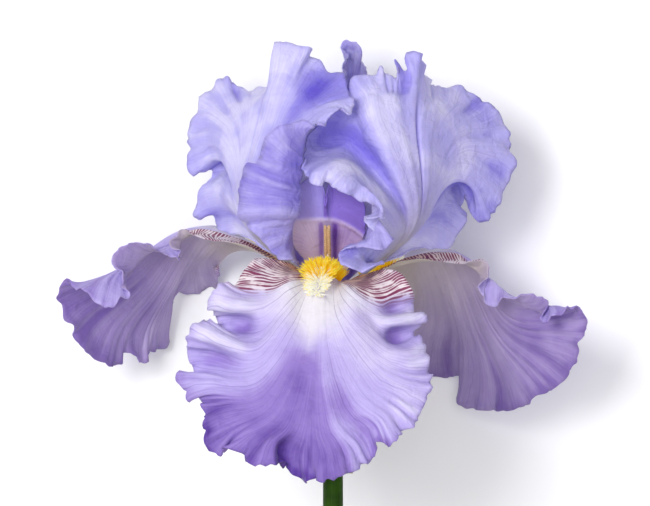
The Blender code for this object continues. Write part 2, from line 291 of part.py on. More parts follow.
# One style arm over the front fall, with the two upright crests past its lip.
STYLE_ARM = (
    (0.0, ((0, -1.5, 0.6, 1.9), (18, 1.5, 0.6, 1.9))),
    (0.35, ((0, -2.5, 2.2, 3.0), (1, -2.6, 3.6, 3.9), (4, -3.6, 8.0, 5.8), (9, -1.2, 12.5, 7.4),
            (14, 2.6, 8.0, 5.8), (17, 2.2, 3.6, 3.9), (18, 2.4, 2.2, 3.0))),
    (0.7, ((0, -3.9, 4.0, 4.6), (1, -5.2, 7.2, 6.9), (2, -7.4, 11.5, 9.9), (4, -8.8, 18.0, 15.0),
           (6.5, -5.5, 22.0, 17.0), (9, -1.7, 20.0, 16.0), (11.5, 2.1, 22.0, 17.0), (14, 6.4, 18.0, 15.0),
           (16, 5.8, 11.5, 9.9), (17, 4.2, 7.2, 6.9), (18, 3.3, 4.0, 4.6))),
    (1.0, ((-4.7, 5.0, 5.3), (-7.8, 8.7, 8.8), (-11.0, 12.5, 13.2), (-12.6, 17.0, 17.0),
           (-12.9, 22.0, 20.0), (-12.0, 28.0, 22.0), (-8.8, 32.5, 21.5), (-4.8, 33.6, 20.0),
           (-2.5, 30.5, 21.0), (-1.9, 24.5, 21.5), (-1.3, 30.5, 20.6), (1.3, 33.0, 19.6), (5.4, 32.0, 20.5),
           (9.2, 27.0, 22.0), (10.0, 21.5, 20.0), (9.8, 17.0, 17.0), (8.2, 12.5, 12.9), (6.0, 8.7, 8.8),
           (4.0, 5.0, 5.3))),
)

# The stem from its cut end up: the stalk, the ovary with its three ridges and the perianth tube.
STEM_AXIS_X = 0.3
# The axis drifts from the throat to its place over this share of the stem's length.
STEM_DRIFT = 1 / 3
STEM_SIDES = 18
STEM_PROFILE = ((-92.0, 3.0), (-64.0, 3.0), (-48.0, 3.1), (-40.0, 3.6), (-34.0, 4.4), (-26.0, 4.8),
                (-18.0, 4.2), (-13.0, 3.4), (-7.0, 3.6), (-2.5, 5.0), (0.0, 6.0))
OVARY_TOP = -13.0
OVARY_BOTTOM = -40.0
OVARY_RIDGES = 3
OVARY_RIDGE_HEIGHT = 0.09
STEM_SHARP_ANGLE = 50.0

# Each spathe, a papery leaf that wraps the ovary: where it starts, where its tip is and how it stands off.
SPATHE_RINGS = 9
SPATHE_COLUMNS = 12
SPATHE_FOOT = -55.0
SPATHE_GRIP = 4.0
SPATHE_BELLY = 6.3
# The belly starts a little out at the foot, is fullest two thirds of the way up, and is broad.
SPATHE_BELLY_START = 0.02
SPATHE_BELLY_PACE = 0.75
SPATHE_BELLY_BREADTH = 0.8
# How late a spathe narrows to its tip, and half the angle that the tip keeps.
SPATHE_TAPER = 2.2
SPATHE_TIP_HALF_ANGLE = 7.0
SPATHES = (
    {"name": "spathe_inner", "faces": 25.0, "tip": -12.0, "stand_off": 0.0, "wrap": 105.0},
    {"name": "spathe_outer", "faces": 200.0, "tip": -5.0, "stand_off": 1.45, "wrap": 120.0},
)

FILAMENT_PATH = ((0.0, 0.62, 3.7), (-0.4, 3.3, 5.5), (-0.9, 7.0, 8.0), (-1.2, 9.8, 10.0))
FILAMENT_RADIUS = 0.5
ANTHER_FOOT = (-1.3, 9.8, 10.0)
ANTHER_TIP = (-1.5, 19.4, 20.2)
ANTHER_WIDTH = 1.9
ANTHER_DEPTH = 1.2
# Along the anther: the share of the way, and the share of its full width there.
ANTHER_STATIONS = ((0.12, 0.8), (0.3, 1.0), (0.6, 1.0), (0.88, 0.9), (1.0, 0.5))
STAMEN_SIDES = 8

# Each beard lies along a fall's middle vein. Its strip is given in margin numbers and ring shares.
BEARDS = (
    {"side": "front", "vein": 31.0, "start": 0.055, "end": 0.185, "half_width": 2.9, "height": 2.2,
     "bristles": 48, "seed": 11},
    {"side": "left", "vein": 27.0, "start": 0.055, "end": 0.125, "half_width": 2.2, "height": 1.5,
     "bristles": 26, "seed": 12},
    {"side": "right", "vein": 22.0, "start": 0.065, "end": 0.15, "half_width": 2.2, "height": 1.5,
     "bristles": 26, "seed": 13},
)
BEARD_RIM_HEIGHT = 1.0
BRISTLE_ROOT_HEIGHT = 0.55
BEARD_LENGTHWAYS = 9
BEARD_ACROSS = 6
BRISTLE_LENGTH = (3.4, 5.0)
BRISTLE_ROOT_RADIUS = 0.42
BRISTLE_TIP_RADIUS = 0.16
BRISTLE_SIDES = 3
# How blunt a beard's ends are, and the least share of its half width there.
BEARD_END_POWER = 4
BEARD_LEAST_WIDTH = 0.1
# The fall's skin is looked for from this far over its middle surface.
SKIN_SEARCH = 4.0
# A beard's own gap to the fall, a little more than the clearance because the fall is bumpy.
BEARD_CLEARANCE = 0.38
# Bristles stand in rows from this share of the strip on, at these places across it and near them.
BRISTLE_FIRST = 0.04
BRISTLE_ROWS = (-0.78, 0.0, 0.78, -0.4, 0.4)
BRISTLE_STRAY = 0.1
# Bristles lean outwards at the sides and forwards at the front end.
BRISTLE_LEAN_OUT = 1.15
BRISTLE_LEAN_AHEAD = 0.5
BRISTLE_UPRIGHT_AT = 0.35
# The share of their length that the hindmost have, and how much is added towards the front end.
BRISTLE_SHORTEST = 0.8
BRISTLE_GROWTH = 0.4


def clear_scene():
    """Remove every object of the open file."""
    for thing in list(bpy.data.objects):
        bpy.data.objects.remove(thing, do_unlink=True)


def make_material(name, colour, roughness):
    """Make a plain coloured material."""
    finish = bpy.data.materials.new(name)
    finish.use_nodes = True
    shader = finish.node_tree.nodes["Principled BSDF"]
    shader.inputs["Base Color"].default_value = (*colour, 1.0)
    shader.inputs["Roughness"].default_value = roughness
    shader.inputs["Metallic"].default_value = 0.0
    return finish


def add_object(name, points, faces, finish, carrier):
    """Make an object from points in millimetres and faces, on the empty that carries the flower."""
    mesh = bpy.data.meshes.new(name)
    mesh.from_pydata([tuple(c * MM for c in p) for p in points], [], faces)
    mesh.validate()
    mesh.materials.append(finish)
    mesh.shade_smooth()
    thing = bpy.data.objects.new(name, mesh)
    bpy.context.scene.collection.objects.link(thing)
    thing.parent = carrier
    return thing


def smooth_between(knots, points, at):
    """Read a smooth curve through points at uneven knots, with slopes from the neighbouring points."""
    last = len(knots) - 1
    at = min(max(at, knots[0]), knots[-1])
    i = 0
    while i < last - 1 and knots[i + 1] < at:
        i += 1
    gap = knots[i + 1] - knots[i]

    def slope(k):
        if k == 0:
            return (points[1] - points[0]) / (knots[1] - knots[0])
        if k == last:
            return (points[last] - points[last - 1]) / (knots[last] - knots[last - 1])
        before = knots[k] - knots[k - 1]
        after = knots[k + 1] - knots[k]
        rise_before = (points[k] - points[k - 1]) / before
        rise_after = (points[k + 1] - points[k]) / after
        return (rise_before * after + rise_after * before) / (before + after)

    f = (at - knots[i]) / gap
    keep_start = 2 * f**3 - 3 * f**2 + 1
    keep_end = 3 * f**2 - 2 * f**3
    lean_start = f**3 - 2 * f**2 + f
    lean_end = f**3 - f**2
    return (points[i] * keep_start + points[i + 1] * keep_end
            + slope(i) * (gap * lean_start) + slope(i + 1) * (gap * lean_end))


class Surface:
    """A petal's middle surface, read at a margin number and a share of the way from claw to margin."""

    def __init__(self, rings):
        self.shares = [share for share, _ in rings]
        self.rings = []
        for share, rows in rings:
            if share == 1.0:
                self.rings.append((list(range(len(rows))), [Vector(row) for row in rows]))
            else:
                self.rings.append(([row[0] for row in rows], [Vector(row[1:]) for row in rows]))
        self.last = float(len(rings[-1][1]) - 1)

    def point(self, number, share):
        """The middle surface at one place."""
        across = [smooth_between(knots, points, number) for knots, points in self.rings]
        return smooth_between(self.shares, across, share)

    def normal(self, number, share):
        """The direction out of the inner face, the one that a standard turns to the flower's middle."""
        step = 0.01
        along = self.point(number, share + step) - self.point(number, share - step)
        sideways = self.point(number + 0.5, share) - self.point(number - 0.5, share)
        return along.cross(sideways).normalized()


def thinned(last, stride):
    """Every so many of the margin's numbers, always with the first and the last."""
    kept = [n for n in range(0, last, stride) if n == 0 or last - n >= LEAST_LAST_STEP * stride]
    return kept + [last]


def fans_between(inner, outer):
    """Triangles between two rows of numbered corners. The outer row has all of the inner row's numbers."""
    faces = []
    for (low, left), (high, right) in zip(inner, inner[1:]):
        run = [corner for number, corner in outer if low <= number <= high]
        middle = len(run) // 2
        faces.append((left, right, run[middle]))
        for j in range(len(run) - 1):
            faces.append((left if j < middle else right, run[j + 1], run[j]))
    return faces


def beside_each(count, faces):
    """The corners that share an edge with each corner."""
    near = [set() for _ in range(count)]
    for face in faces:
        for i, corner in enumerate(face):
            near[corner].update((face[i - 1], face[(i + 1) % len(face)]))
    return [sorted(around) for around in near]


def soften(values, near, moving, passes, share):
    """Move some values towards the mean of their neighbours, a few times over."""
    for _ in range(passes):
        moved = list(values)
        for i in moving:
            mean = sum((values[j] for j in near[i]), Vector((0.0, 0.0, 0.0))) / len(near[i])
            moved[i] = values[i].lerp(mean, share)
        values = moved
    return values


def corner_normals(points, faces):
    """The direction square to the surface at each corner, on the petal's outer side."""
    across = [Vector((0.0, 0.0, 0.0)) for _ in points]
    for a, b, c in faces:
        square = (points[b] - points[a]).cross(points[c] - points[a])
        for corner in (a, b, c):
            across[corner] += square
    return [direction.normalized() for direction in across]


def without_slivers(points, faces):
    """Let short edges and thin triangles shrink away, and turn the triangles to their better diagonals."""
    mesh = bmesh.new()
    corners = [mesh.verts.new(p) for p in points]
    for face in faces:
        mesh.faces.new([corners[i] for i in face])
    bmesh.ops.dissolve_degenerate(mesh, dist=SHORTEST_EDGE, edges=mesh.edges)
    bmesh.ops.triangulate(mesh, faces=mesh.faces, quad_method="SHORT_EDGE", ngon_method="BEAUTY")
    inner_edges = [side for side in mesh.edges if len(side.link_faces) == 2]
    bmesh.ops.beautify_fill(mesh, faces=mesh.faces, edges=inner_edges, method="AREA")
    loose = [corner for corner in mesh.verts if not corner.link_faces]
    bmesh.ops.delete(mesh, geom=loose, context="VERTS")
    mesh.verts.ensure_lookup_table()
    mesh.verts.index_update()
    points = [corner.co.copy() for corner in mesh.verts]
    faces = [tuple(corner.index for corner in face.verts) for face in mesh.faces]
    mesh.free()
    return points, faces


def open_sides(faces):
    """The directed sides that only one triangle has, which run round the surface's edge."""
    sides = {(face[i - 1], face[i]) for face in faces for i in range(3)}
    return sorted((here, there) for here, there in sides if (there, here) not in sides)


def thick_skin(points, faces, thickness):
    """The closed skin of a blade: its surface moved half a thickness to either side, and the rim."""
    near = beside_each(len(points), faces)
    across = soften(corner_normals(points, faces), near, range(len(points)), *NORMAL_EASING)
    across = [direction.normalized() for direction in across]
    count = len(points)
    shell = [p + n * (thickness / 2) for p, n in zip(points, across)]
    shell += [p - n * (thickness / 2) for p, n in zip(points, across)]
    skin = list(faces)
    skin += [tuple(corner + count for corner in reversed(face)) for face in faces]
    for here, there in open_sides(faces):
        skin.append((there, here, here + count))
        skin.append((there, here + count, there + count))
    return shell, skin


def crossing_corners(shell, skin, count):
    """The surface's corners whose triangles run through each other once the blade is thick."""
    tree = BVHTree.FromPolygons(shell, skin)
    found = set()
    for one, other in tree.overlap(tree):
        if one < other and not set(skin[one]) & set(skin[other]):
            found.update(corner % count for corner in skin[one] + skin[other])
    return found


def eased(points, faces, tight, held):
    """Smooth the surface in tight places. Corners of the edge move along it, and held ones not at all."""
    near = beside_each(len(points), faces)
    along_edge = {}
    for here, there in open_sides(faces):
        along_edge.setdefault(here, []).append(there)
        along_edge.setdefault(there, []).append(here)
    moving = set(tight)
    for corner in tight:
        moving.update(near[corner])
    for corner, beside in along_edge.items():
        near[corner] = beside
    return soften(points, near, sorted(moving - held), *TIGHT_EASING)


def blade(name, rings, ring_plan, thickness, finish, carrier, turn=0.0):
    """Make a blade along a surface, with fewer corners in its claw, and give it its thickness."""
    surface = Surface(rings)
    about = Matrix.Rotation(math.radians(turn), 3, "Y")
    points = []
    rows = []
    for share, stride in ring_plan:
        row = []
        for number in thinned(int(surface.last), stride):
            row.append((number, len(points)))
            points.append(about @ surface.point(number, share))
        rows.append(row)
    faces = []
    for inner, outer in zip(rows, rows[1:]):
        faces.extend(fans_between(inner, outer))
    edge = [corner for _, corner in rows[0] + rows[-1]]
    edge += [row[end][1] for row in rows[1:-1] for end in (0, -1)]
    near = beside_each(len(points), faces)
    inside = [corner for corner in range(len(points)) if corner not in edge]
    beside_claw = [corner for row in rows for number, corner in row
                   if corner not in edge and min(number, surface.last - number) <= CLAW_SIDE]
    points = soften(points, near, beside_claw, *CLAW_EASING)
    points = soften(points, near, inside, *FORM_EASING)
    foot = [points[corner] for _, corner in rows[0]]
    points, faces = without_slivers(points, faces)
    held = {corner for corner, p in enumerate(points) if min((p - end).length for end in foot) < SAME_PLACE}
    shell, skin = thick_skin(points, faces, thickness)
    for _ in range(TIGHT_ROUNDS):
        crossing = crossing_corners(shell, skin, len(points))
        if not crossing:
            break
        points = eased(points, faces, crossing, held)
        shell, skin = thick_skin(points, faces, thickness)
    return add_object(name, shell, skin, finish, carrier)


def ring_faces(rings, closed_ends=True):
    """Faces between rings of point numbers that all run the same way round, with both ends capped."""
    faces = []
    for lower, upper in zip(rings, rings[1:]):
        count = len(lower)
        for i in range(count):
            j = (i + 1) % count
            faces.append((lower[i], lower[j], upper[j], upper[i]))
    if closed_ends:
        faces.append(tuple(reversed(rings[0])))
        faces.append(tuple(rings[-1]))
    return faces


def face_outwards(thing):
    """Turn all of a closed mesh's faces outwards."""
    mesh = bmesh.new()
    mesh.from_mesh(thing.data)
    bmesh.ops.recalc_face_normals(mesh, faces=mesh.faces)
    mesh.to_mesh(thing.data)
    mesh.free()


def make_stem(finish, carrier):
    """Turn the stalk, ovary and perianth tube in one piece, with the ovary's three ridges."""
    points = []
    rings = []
    levels = [y for y, _ in STEM_PROFILE]
    radii = [Vector((radius, 0.0, 0.0)) for _, radius in STEM_PROFILE]
    fine = []
    for low, high in zip(levels, levels[1:]):
        fine.append(low)
        if high > OVARY_BOTTOM:
            fine.append((low + high) / 2)
    fine.append(levels[-1])
    for y in fine:
        radius = smooth_between(levels, radii, y).x
        swell = 0.0
        if OVARY_BOTTOM < y < OVARY_TOP:
            swell = OVARY_RIDGE_HEIGHT * math.sin(math.pi * (y - OVARY_BOTTOM) / (OVARY_TOP - OVARY_BOTTOM))
        ring = []
        for i in range(STEM_SIDES):
            angle = 2 * math.pi * i / STEM_SIDES
            reach = radius * (1 + swell * math.cos(OVARY_RIDGES * angle))
            lean = STEM_AXIS_X * min(1.0, y / levels[0] / STEM_DRIFT)
            ring.append(len(points))
            points.append((lean + reach * math.sin(angle), y, reach * math.cos(angle)))
        rings.append(ring)
    stem = add_object("stem", points, ring_faces(rings), finish, carrier)
    face_outwards(stem)
    stem.data.set_sharp_from_angle(angle=math.radians(STEM_SHARP_ANGLE))
    return stem


def make_spathe(spec, finish, carrier):
    """Make one spathe: a leaf curled round the stem, gripping it below and pointed above."""
    points = []
    rows = []
    for k in range(SPATHE_RINGS):
        f = k / (SPATHE_RINGS - 1)
        y = SPATHE_FOOT + (spec["tip"] - SPATHE_FOOT) * f
        belly = math.sin(math.pi * (f * SPATHE_BELLY_PACE + SPATHE_BELLY_START)) ** SPATHE_BELLY_BREADTH
        reach = SPATHE_GRIP + (SPATHE_BELLY - SPATHE_GRIP) * belly + spec["stand_off"]
        narrowing = math.sqrt(max(0.0, 1 - f**SPATHE_TAPER))
        half = math.radians(spec["wrap"] * narrowing + SPATHE_TIP_HALF_ANGLE)
        row = []
        for i in range(SPATHE_COLUMNS + 1):
            angle = math.radians(spec["faces"]) + half * (2 * i / SPATHE_COLUMNS - 1)
            row.append(len(points))
            points.append((STEM_AXIS_X + reach * math.sin(angle), y, reach * math.cos(angle)))
        rows.append(row)
    faces = []
    for lower, upper in zip(rows, rows[1:]):
        for i in range(SPATHE_COLUMNS):
            faces.append((lower[i], lower[i + 1], upper[i + 1]))
            faces.append((lower[i], upper[i + 1], upper[i]))
    spathe = add_object(spec["name"], points, faces, finish, carrier)
    wall = spathe.modifiers.new("leaf thickness", "SOLIDIFY")
    wall.thickness = SPATHE_THICKNESS * MM
    wall.offset = 0.0
    return spathe


def make_stamen(name, turn, finish, carrier):
    """Make one stamen in one piece: a round filament with a flat anther at its end."""
    about = Matrix.Rotation(math.radians(turn), 3, "Y")
    foot, tip = Vector(ANTHER_FOOT), Vector(ANTHER_TIP)
    axis = (tip - foot).normalized()
    stations = [(Vector(p), FILAMENT_RADIUS, FILAMENT_RADIUS) for p in FILAMENT_PATH]
    for f, share in ANTHER_STATIONS:
        stations.append((foot.lerp(tip, f), ANTHER_WIDTH / 2 * share, ANTHER_DEPTH / 2 * share))
    sideways = Vector((1.0, 0.0, 0.0))
    points = []
    rings = []
    for k, (place, half_width, half_depth) in enumerate(stations):
        ahead = stations[min(k + 1, len(stations) - 1)][0] - stations[max(k - 1, 0)][0]
        direction = ahead.normalized() if ahead.length > 0 else axis
        outward = sideways.cross(direction).normalized()
        ring = []
        for i in range(STAMEN_SIDES):
            angle = 2 * math.pi * i / STAMEN_SIDES
            ring.append(len(points))
            points.append(about @ (place + sideways * (half_width * math.cos(angle))
                                   + outward * (half_depth * math.sin(angle))))
        rings.append(ring)
    stamen = add_object(name, points, ring_faces(rings), finish, carrier)
    face_outwards(stamen)
    return stamen


def bristle_mesh(root, direction, length):
    """Points and faces of one three-sided bristle."""
    helper = Vector((0.0, 1.0, 0.0)) if abs(direction.y) < 0.9 else Vector((1.0, 0.0, 0.0))
    side = direction.cross(helper).normalized()
    other = direction.cross(side).normalized()
    points = []
    for reach, radius in ((0.0, BRISTLE_ROOT_RADIUS), (length, BRISTLE_TIP_RADIUS)):
        for i in range(BRISTLE_SIDES):
            angle = 2 * math.pi * i / BRISTLE_SIDES
            points.append(root + direction * reach
                          + side * (radius * math.cos(angle)) + other * (radius * math.sin(angle)))
    root_ring = list(range(BRISTLE_SIDES))
    return points, ring_faces([root_ring, [i + BRISTLE_SIDES for i in root_ring]])


def make_beard(spec, rings, fall, finish, carrier):
    """Make one beard: a ridge on the fall's middle vein with bristles sunk into it, as one solid."""
    surface = Surface(rings)
    skin = BVHTree.FromPolygons([corner.co / MM for corner in fall.data.vertices],
                                [face.vertices for face in fall.data.polygons])
    rng = random.Random(spec["seed"])

    def strip_place(f, g):
        """A place just over the fall, by shares along and across the strip, and the way up there."""
        share = spec["start"] + (spec["end"] - spec["start"]) * f
        vein = surface.point(spec["vein"], share)
        up = surface.normal(spec["vein"], share)
        ahead = surface.point(spec["vein"], share + 0.01) - surface.point(spec["vein"], share - 0.01)
        across = ahead.cross(up).normalized()
        half = spec["half_width"] * math.sqrt(max(BEARD_LEAST_WIDTH, 1 - (2 * f - 1) ** BEARD_END_POWER))
        start = vein + across * (g * half) + up * SKIN_SEARCH
        hit = skin.ray_cast(start, -up, 2 * SKIN_SEARCH)[0]
        if hit is None:
            hit = start - up * (SKIN_SEARCH - PETAL_THICKNESS / 2)
        return hit + up * BEARD_CLEARANCE, up

    points = []
    layers = ([], [])
    for a in range(BEARD_LENGTHWAYS):
        f = a / (BEARD_LENGTHWAYS - 1)
        for b in range(BEARD_ACROSS + 1):
            g = 2 * b / BEARD_ACROSS - 1
            place, up = strip_place(f, g)
            dome = math.sqrt(max(0.0, 1 - g * g)) * math.sqrt(max(0.0, 1 - (2 * f - 1) ** BEARD_END_POWER))
            for layer, height in ((0, 0.0), (1, BEARD_RIM_HEIGHT + spec["height"] * dome)):
                layers[layer].append(len(points))
                points.append(place + up * height)
    faces = []
    wide = BEARD_ACROSS + 1
    for a in range(BEARD_LENGTHWAYS - 1):
        for b in range(BEARD_ACROSS):
            i = a * wide + b
            corners = (i, i + 1, i + wide + 1, i + wide)
            for low in ((0, 1, 2), (0, 2, 3)):
                faces.append(tuple(layers[1][corners[c]] for c in low))
                faces.append(tuple(layers[0][corners[c]] for c in reversed(low)))
    edge = ([b for b in range(wide)] + [a * wide + wide - 1 for a in range(1, BEARD_LENGTHWAYS)]
            + [(BEARD_LENGTHWAYS - 1) * wide + b for b in range(wide - 2, -1, -1)]
            + [a * wide for a in range(BEARD_LENGTHWAYS - 2, 0, -1)])
    for i, here in enumerate(edge):
        there = edge[(i + 1) % len(edge)]
        faces.append((layers[0][here], layers[0][there], layers[1][there], layers[1][here]))
    core = add_object("beard_" + spec["side"], points, faces, finish, carrier)
    face_outwards(core)

    loose_bristles = []
    bristles = bpy.data.collections.new("bristles " + spec["side"])
    count = spec["bristles"]
    for k in range(count):
        f = BRISTLE_FIRST + (1 - 2 * BRISTLE_FIRST) * (k + 0.5) / count
        g = BRISTLE_ROWS[k % len(BRISTLE_ROWS)] + rng.uniform(-BRISTLE_STRAY, BRISTLE_STRAY)
        place, up = strip_place(f, g)
        beside = strip_place(f, min(1.0, g + 0.1))[0] - strip_place(f, max(-1.0, g - 0.1))[0]
        ahead = strip_place(min(1.0, f + 0.05), g)[0] - strip_place(max(0.0, f - 0.05), g)[0]
        lean = (up + beside.normalized() * (g * BRISTLE_LEAN_OUT)
                + ahead.normalized() * (BRISTLE_LEAN_AHEAD * (f - BRISTLE_UPRIGHT_AT)))
        length = rng.uniform(*BRISTLE_LENGTH) * (BRISTLE_SHORTEST + BRISTLE_GROWTH * f)
        root = place + up * BRISTLE_ROOT_HEIGHT
        some_points, some_faces = bristle_mesh(root, lean.normalized(), length)
        bristle = add_object("bristle", some_points, some_faces, finish, carrier)
        face_outwards(bristle)
        bpy.context.scene.collection.objects.unlink(bristle)
        bristles.objects.link(bristle)
        loose_bristles.append(bristle)
    bpy.context.scene.collection.children.link(bristles)
    join = core.modifiers.new("join bristles", "BOOLEAN")
    join.operation = "UNION"
    join.operand_type = "COLLECTION"
    join.collection = bristles
    join.solver = "EXACT"
    join.use_self = True
    bpy.context.view_layer.update()
    joined = bpy.data.meshes.new_from_object(core.evaluated_get(bpy.context.evaluated_depsgraph_get()))
    core.modifiers.remove(join)
    core.data = joined
    for bristle in loose_bristles:
        bpy.data.objects.remove(bristle, do_unlink=True)
    bpy.data.collections.remove(bristles)
    return core


def build_flower():
    """Build every piece of the flower and carry it to where it rests."""
    carrier = bpy.data.objects.new("flower", None)
    carrier.location = [c * MM for c in THROAT]
    bpy.context.scene.collection.objects.link(carrier)

    standard_finish = make_material("standard petal", LAVENDER, 0.6)
    fall_finish = make_material("fall petal", VIOLET, 0.6)
    style_finish = make_material("style arm", STYLE_VIOLET, 0.55)
    beard_finish = make_material("beard bristles", BEARD_YELLOW, 0.7)
    anther_finish = make_material("anther", ANTHER_TAN, 0.8)
    stem_finish = make_material("green stalk", STEM_GREEN, 0.5)
    spathe_finish = make_material("papery spathe", SPATHE_GREEN, 0.75)

    make_stem(stem_finish, carrier)
    for spec in SPATHES:
        make_spathe(spec, spathe_finish, carrier)
    fall_rings = {"front": FRONT_FALL, "left": LEFT_FALL, "right": RIGHT_FALL}
    falls = {side: blade("fall_" + side, rings, PETAL_RINGS, PETAL_THICKNESS, fall_finish, carrier)
             for side, rings in fall_rings.items()}
    standard_rings = {"left": LEFT_STANDARD, "right": RIGHT_STANDARD, "rear": REAR_STANDARD}
    for side, rings in standard_rings.items():
        blade("standard_" + side, rings, PETAL_RINGS, PETAL_THICKNESS, standard_finish, carrier)
    for side, azimuth in FALL_AZIMUTHS.items():
        blade("style_arm_" + side, STYLE_ARM, STYLE_RINGS, STYLE_THICKNESS, style_finish, carrier, azimuth)
        make_stamen("stamen_" + side, azimuth, anther_finish, carrier)
    for spec in BEARDS:
        make_beard(spec, fall_rings[spec["side"]], falls[spec["side"]], beard_finish, carrier)


clear_scene()
build_flower()
bpy.context.view_layer.update()
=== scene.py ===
"""Looks of a cut bearded iris bloom that lies on its back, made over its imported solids.

The flower's own frame has its throat, the top of the perianth tube, at the origin. +Y runs up the flower,
away from the stem, and +Z points the way that the front fall points, which is up as the flower lies. Places
in that frame are in millimetres. Bloom.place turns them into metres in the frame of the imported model.

A petal is a thin blade along a middle surface. The surface passes through rings of points, from the claw at
the throat out to the margin. On the margin's ring the points are numbered 0, 1, 2 and so on, and a point of
an inner ring begins with the number of the margin point that its vein runs to. The petal's own UV map holds
the share of the way along the margin, and the share of the way from the claw to the margin.
"""

import logging
import math
import random
from collections.abc import Callable
from dataclasses import dataclass
from enum import Enum
from functools import partial

import bpy
import numpy as np
from bpy.types import Material, Mesh, Node, NodeSocket, NodeTree, Object
from mathutils import Matrix, Vector


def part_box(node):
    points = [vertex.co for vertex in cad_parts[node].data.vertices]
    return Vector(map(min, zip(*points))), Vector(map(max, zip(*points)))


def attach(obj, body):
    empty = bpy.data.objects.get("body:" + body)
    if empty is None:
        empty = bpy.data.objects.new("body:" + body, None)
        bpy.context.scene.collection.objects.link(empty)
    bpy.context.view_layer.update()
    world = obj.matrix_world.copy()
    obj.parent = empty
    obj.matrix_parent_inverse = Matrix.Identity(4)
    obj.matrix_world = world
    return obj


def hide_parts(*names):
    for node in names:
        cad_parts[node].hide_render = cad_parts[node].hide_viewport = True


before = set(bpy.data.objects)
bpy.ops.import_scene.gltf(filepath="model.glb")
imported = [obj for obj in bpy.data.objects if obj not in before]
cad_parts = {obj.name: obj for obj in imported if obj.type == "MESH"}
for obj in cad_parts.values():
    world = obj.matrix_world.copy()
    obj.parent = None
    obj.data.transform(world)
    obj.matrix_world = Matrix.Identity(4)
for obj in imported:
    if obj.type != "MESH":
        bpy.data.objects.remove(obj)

MM = 0.001
# The height of the lowest margins beside the throat.
LOWEST_MM = -49.65
BODY = "root"

Point = tuple[float, ...]
Rings = tuple[tuple[float, tuple[Point, ...]], ...]
Stops = tuple[tuple[float, str], ...]
Adder = Callable[..., Node]
Array = np.ndarray

# Choices that many shader nodes share.
SMOOTH = {"interpolation_type": "SMOOTHSTEP"}
TIMES = {"operation": "MULTIPLY"}
COLOURS = {"data_type": "RGBA"}

log = logging.getLogger("iris")

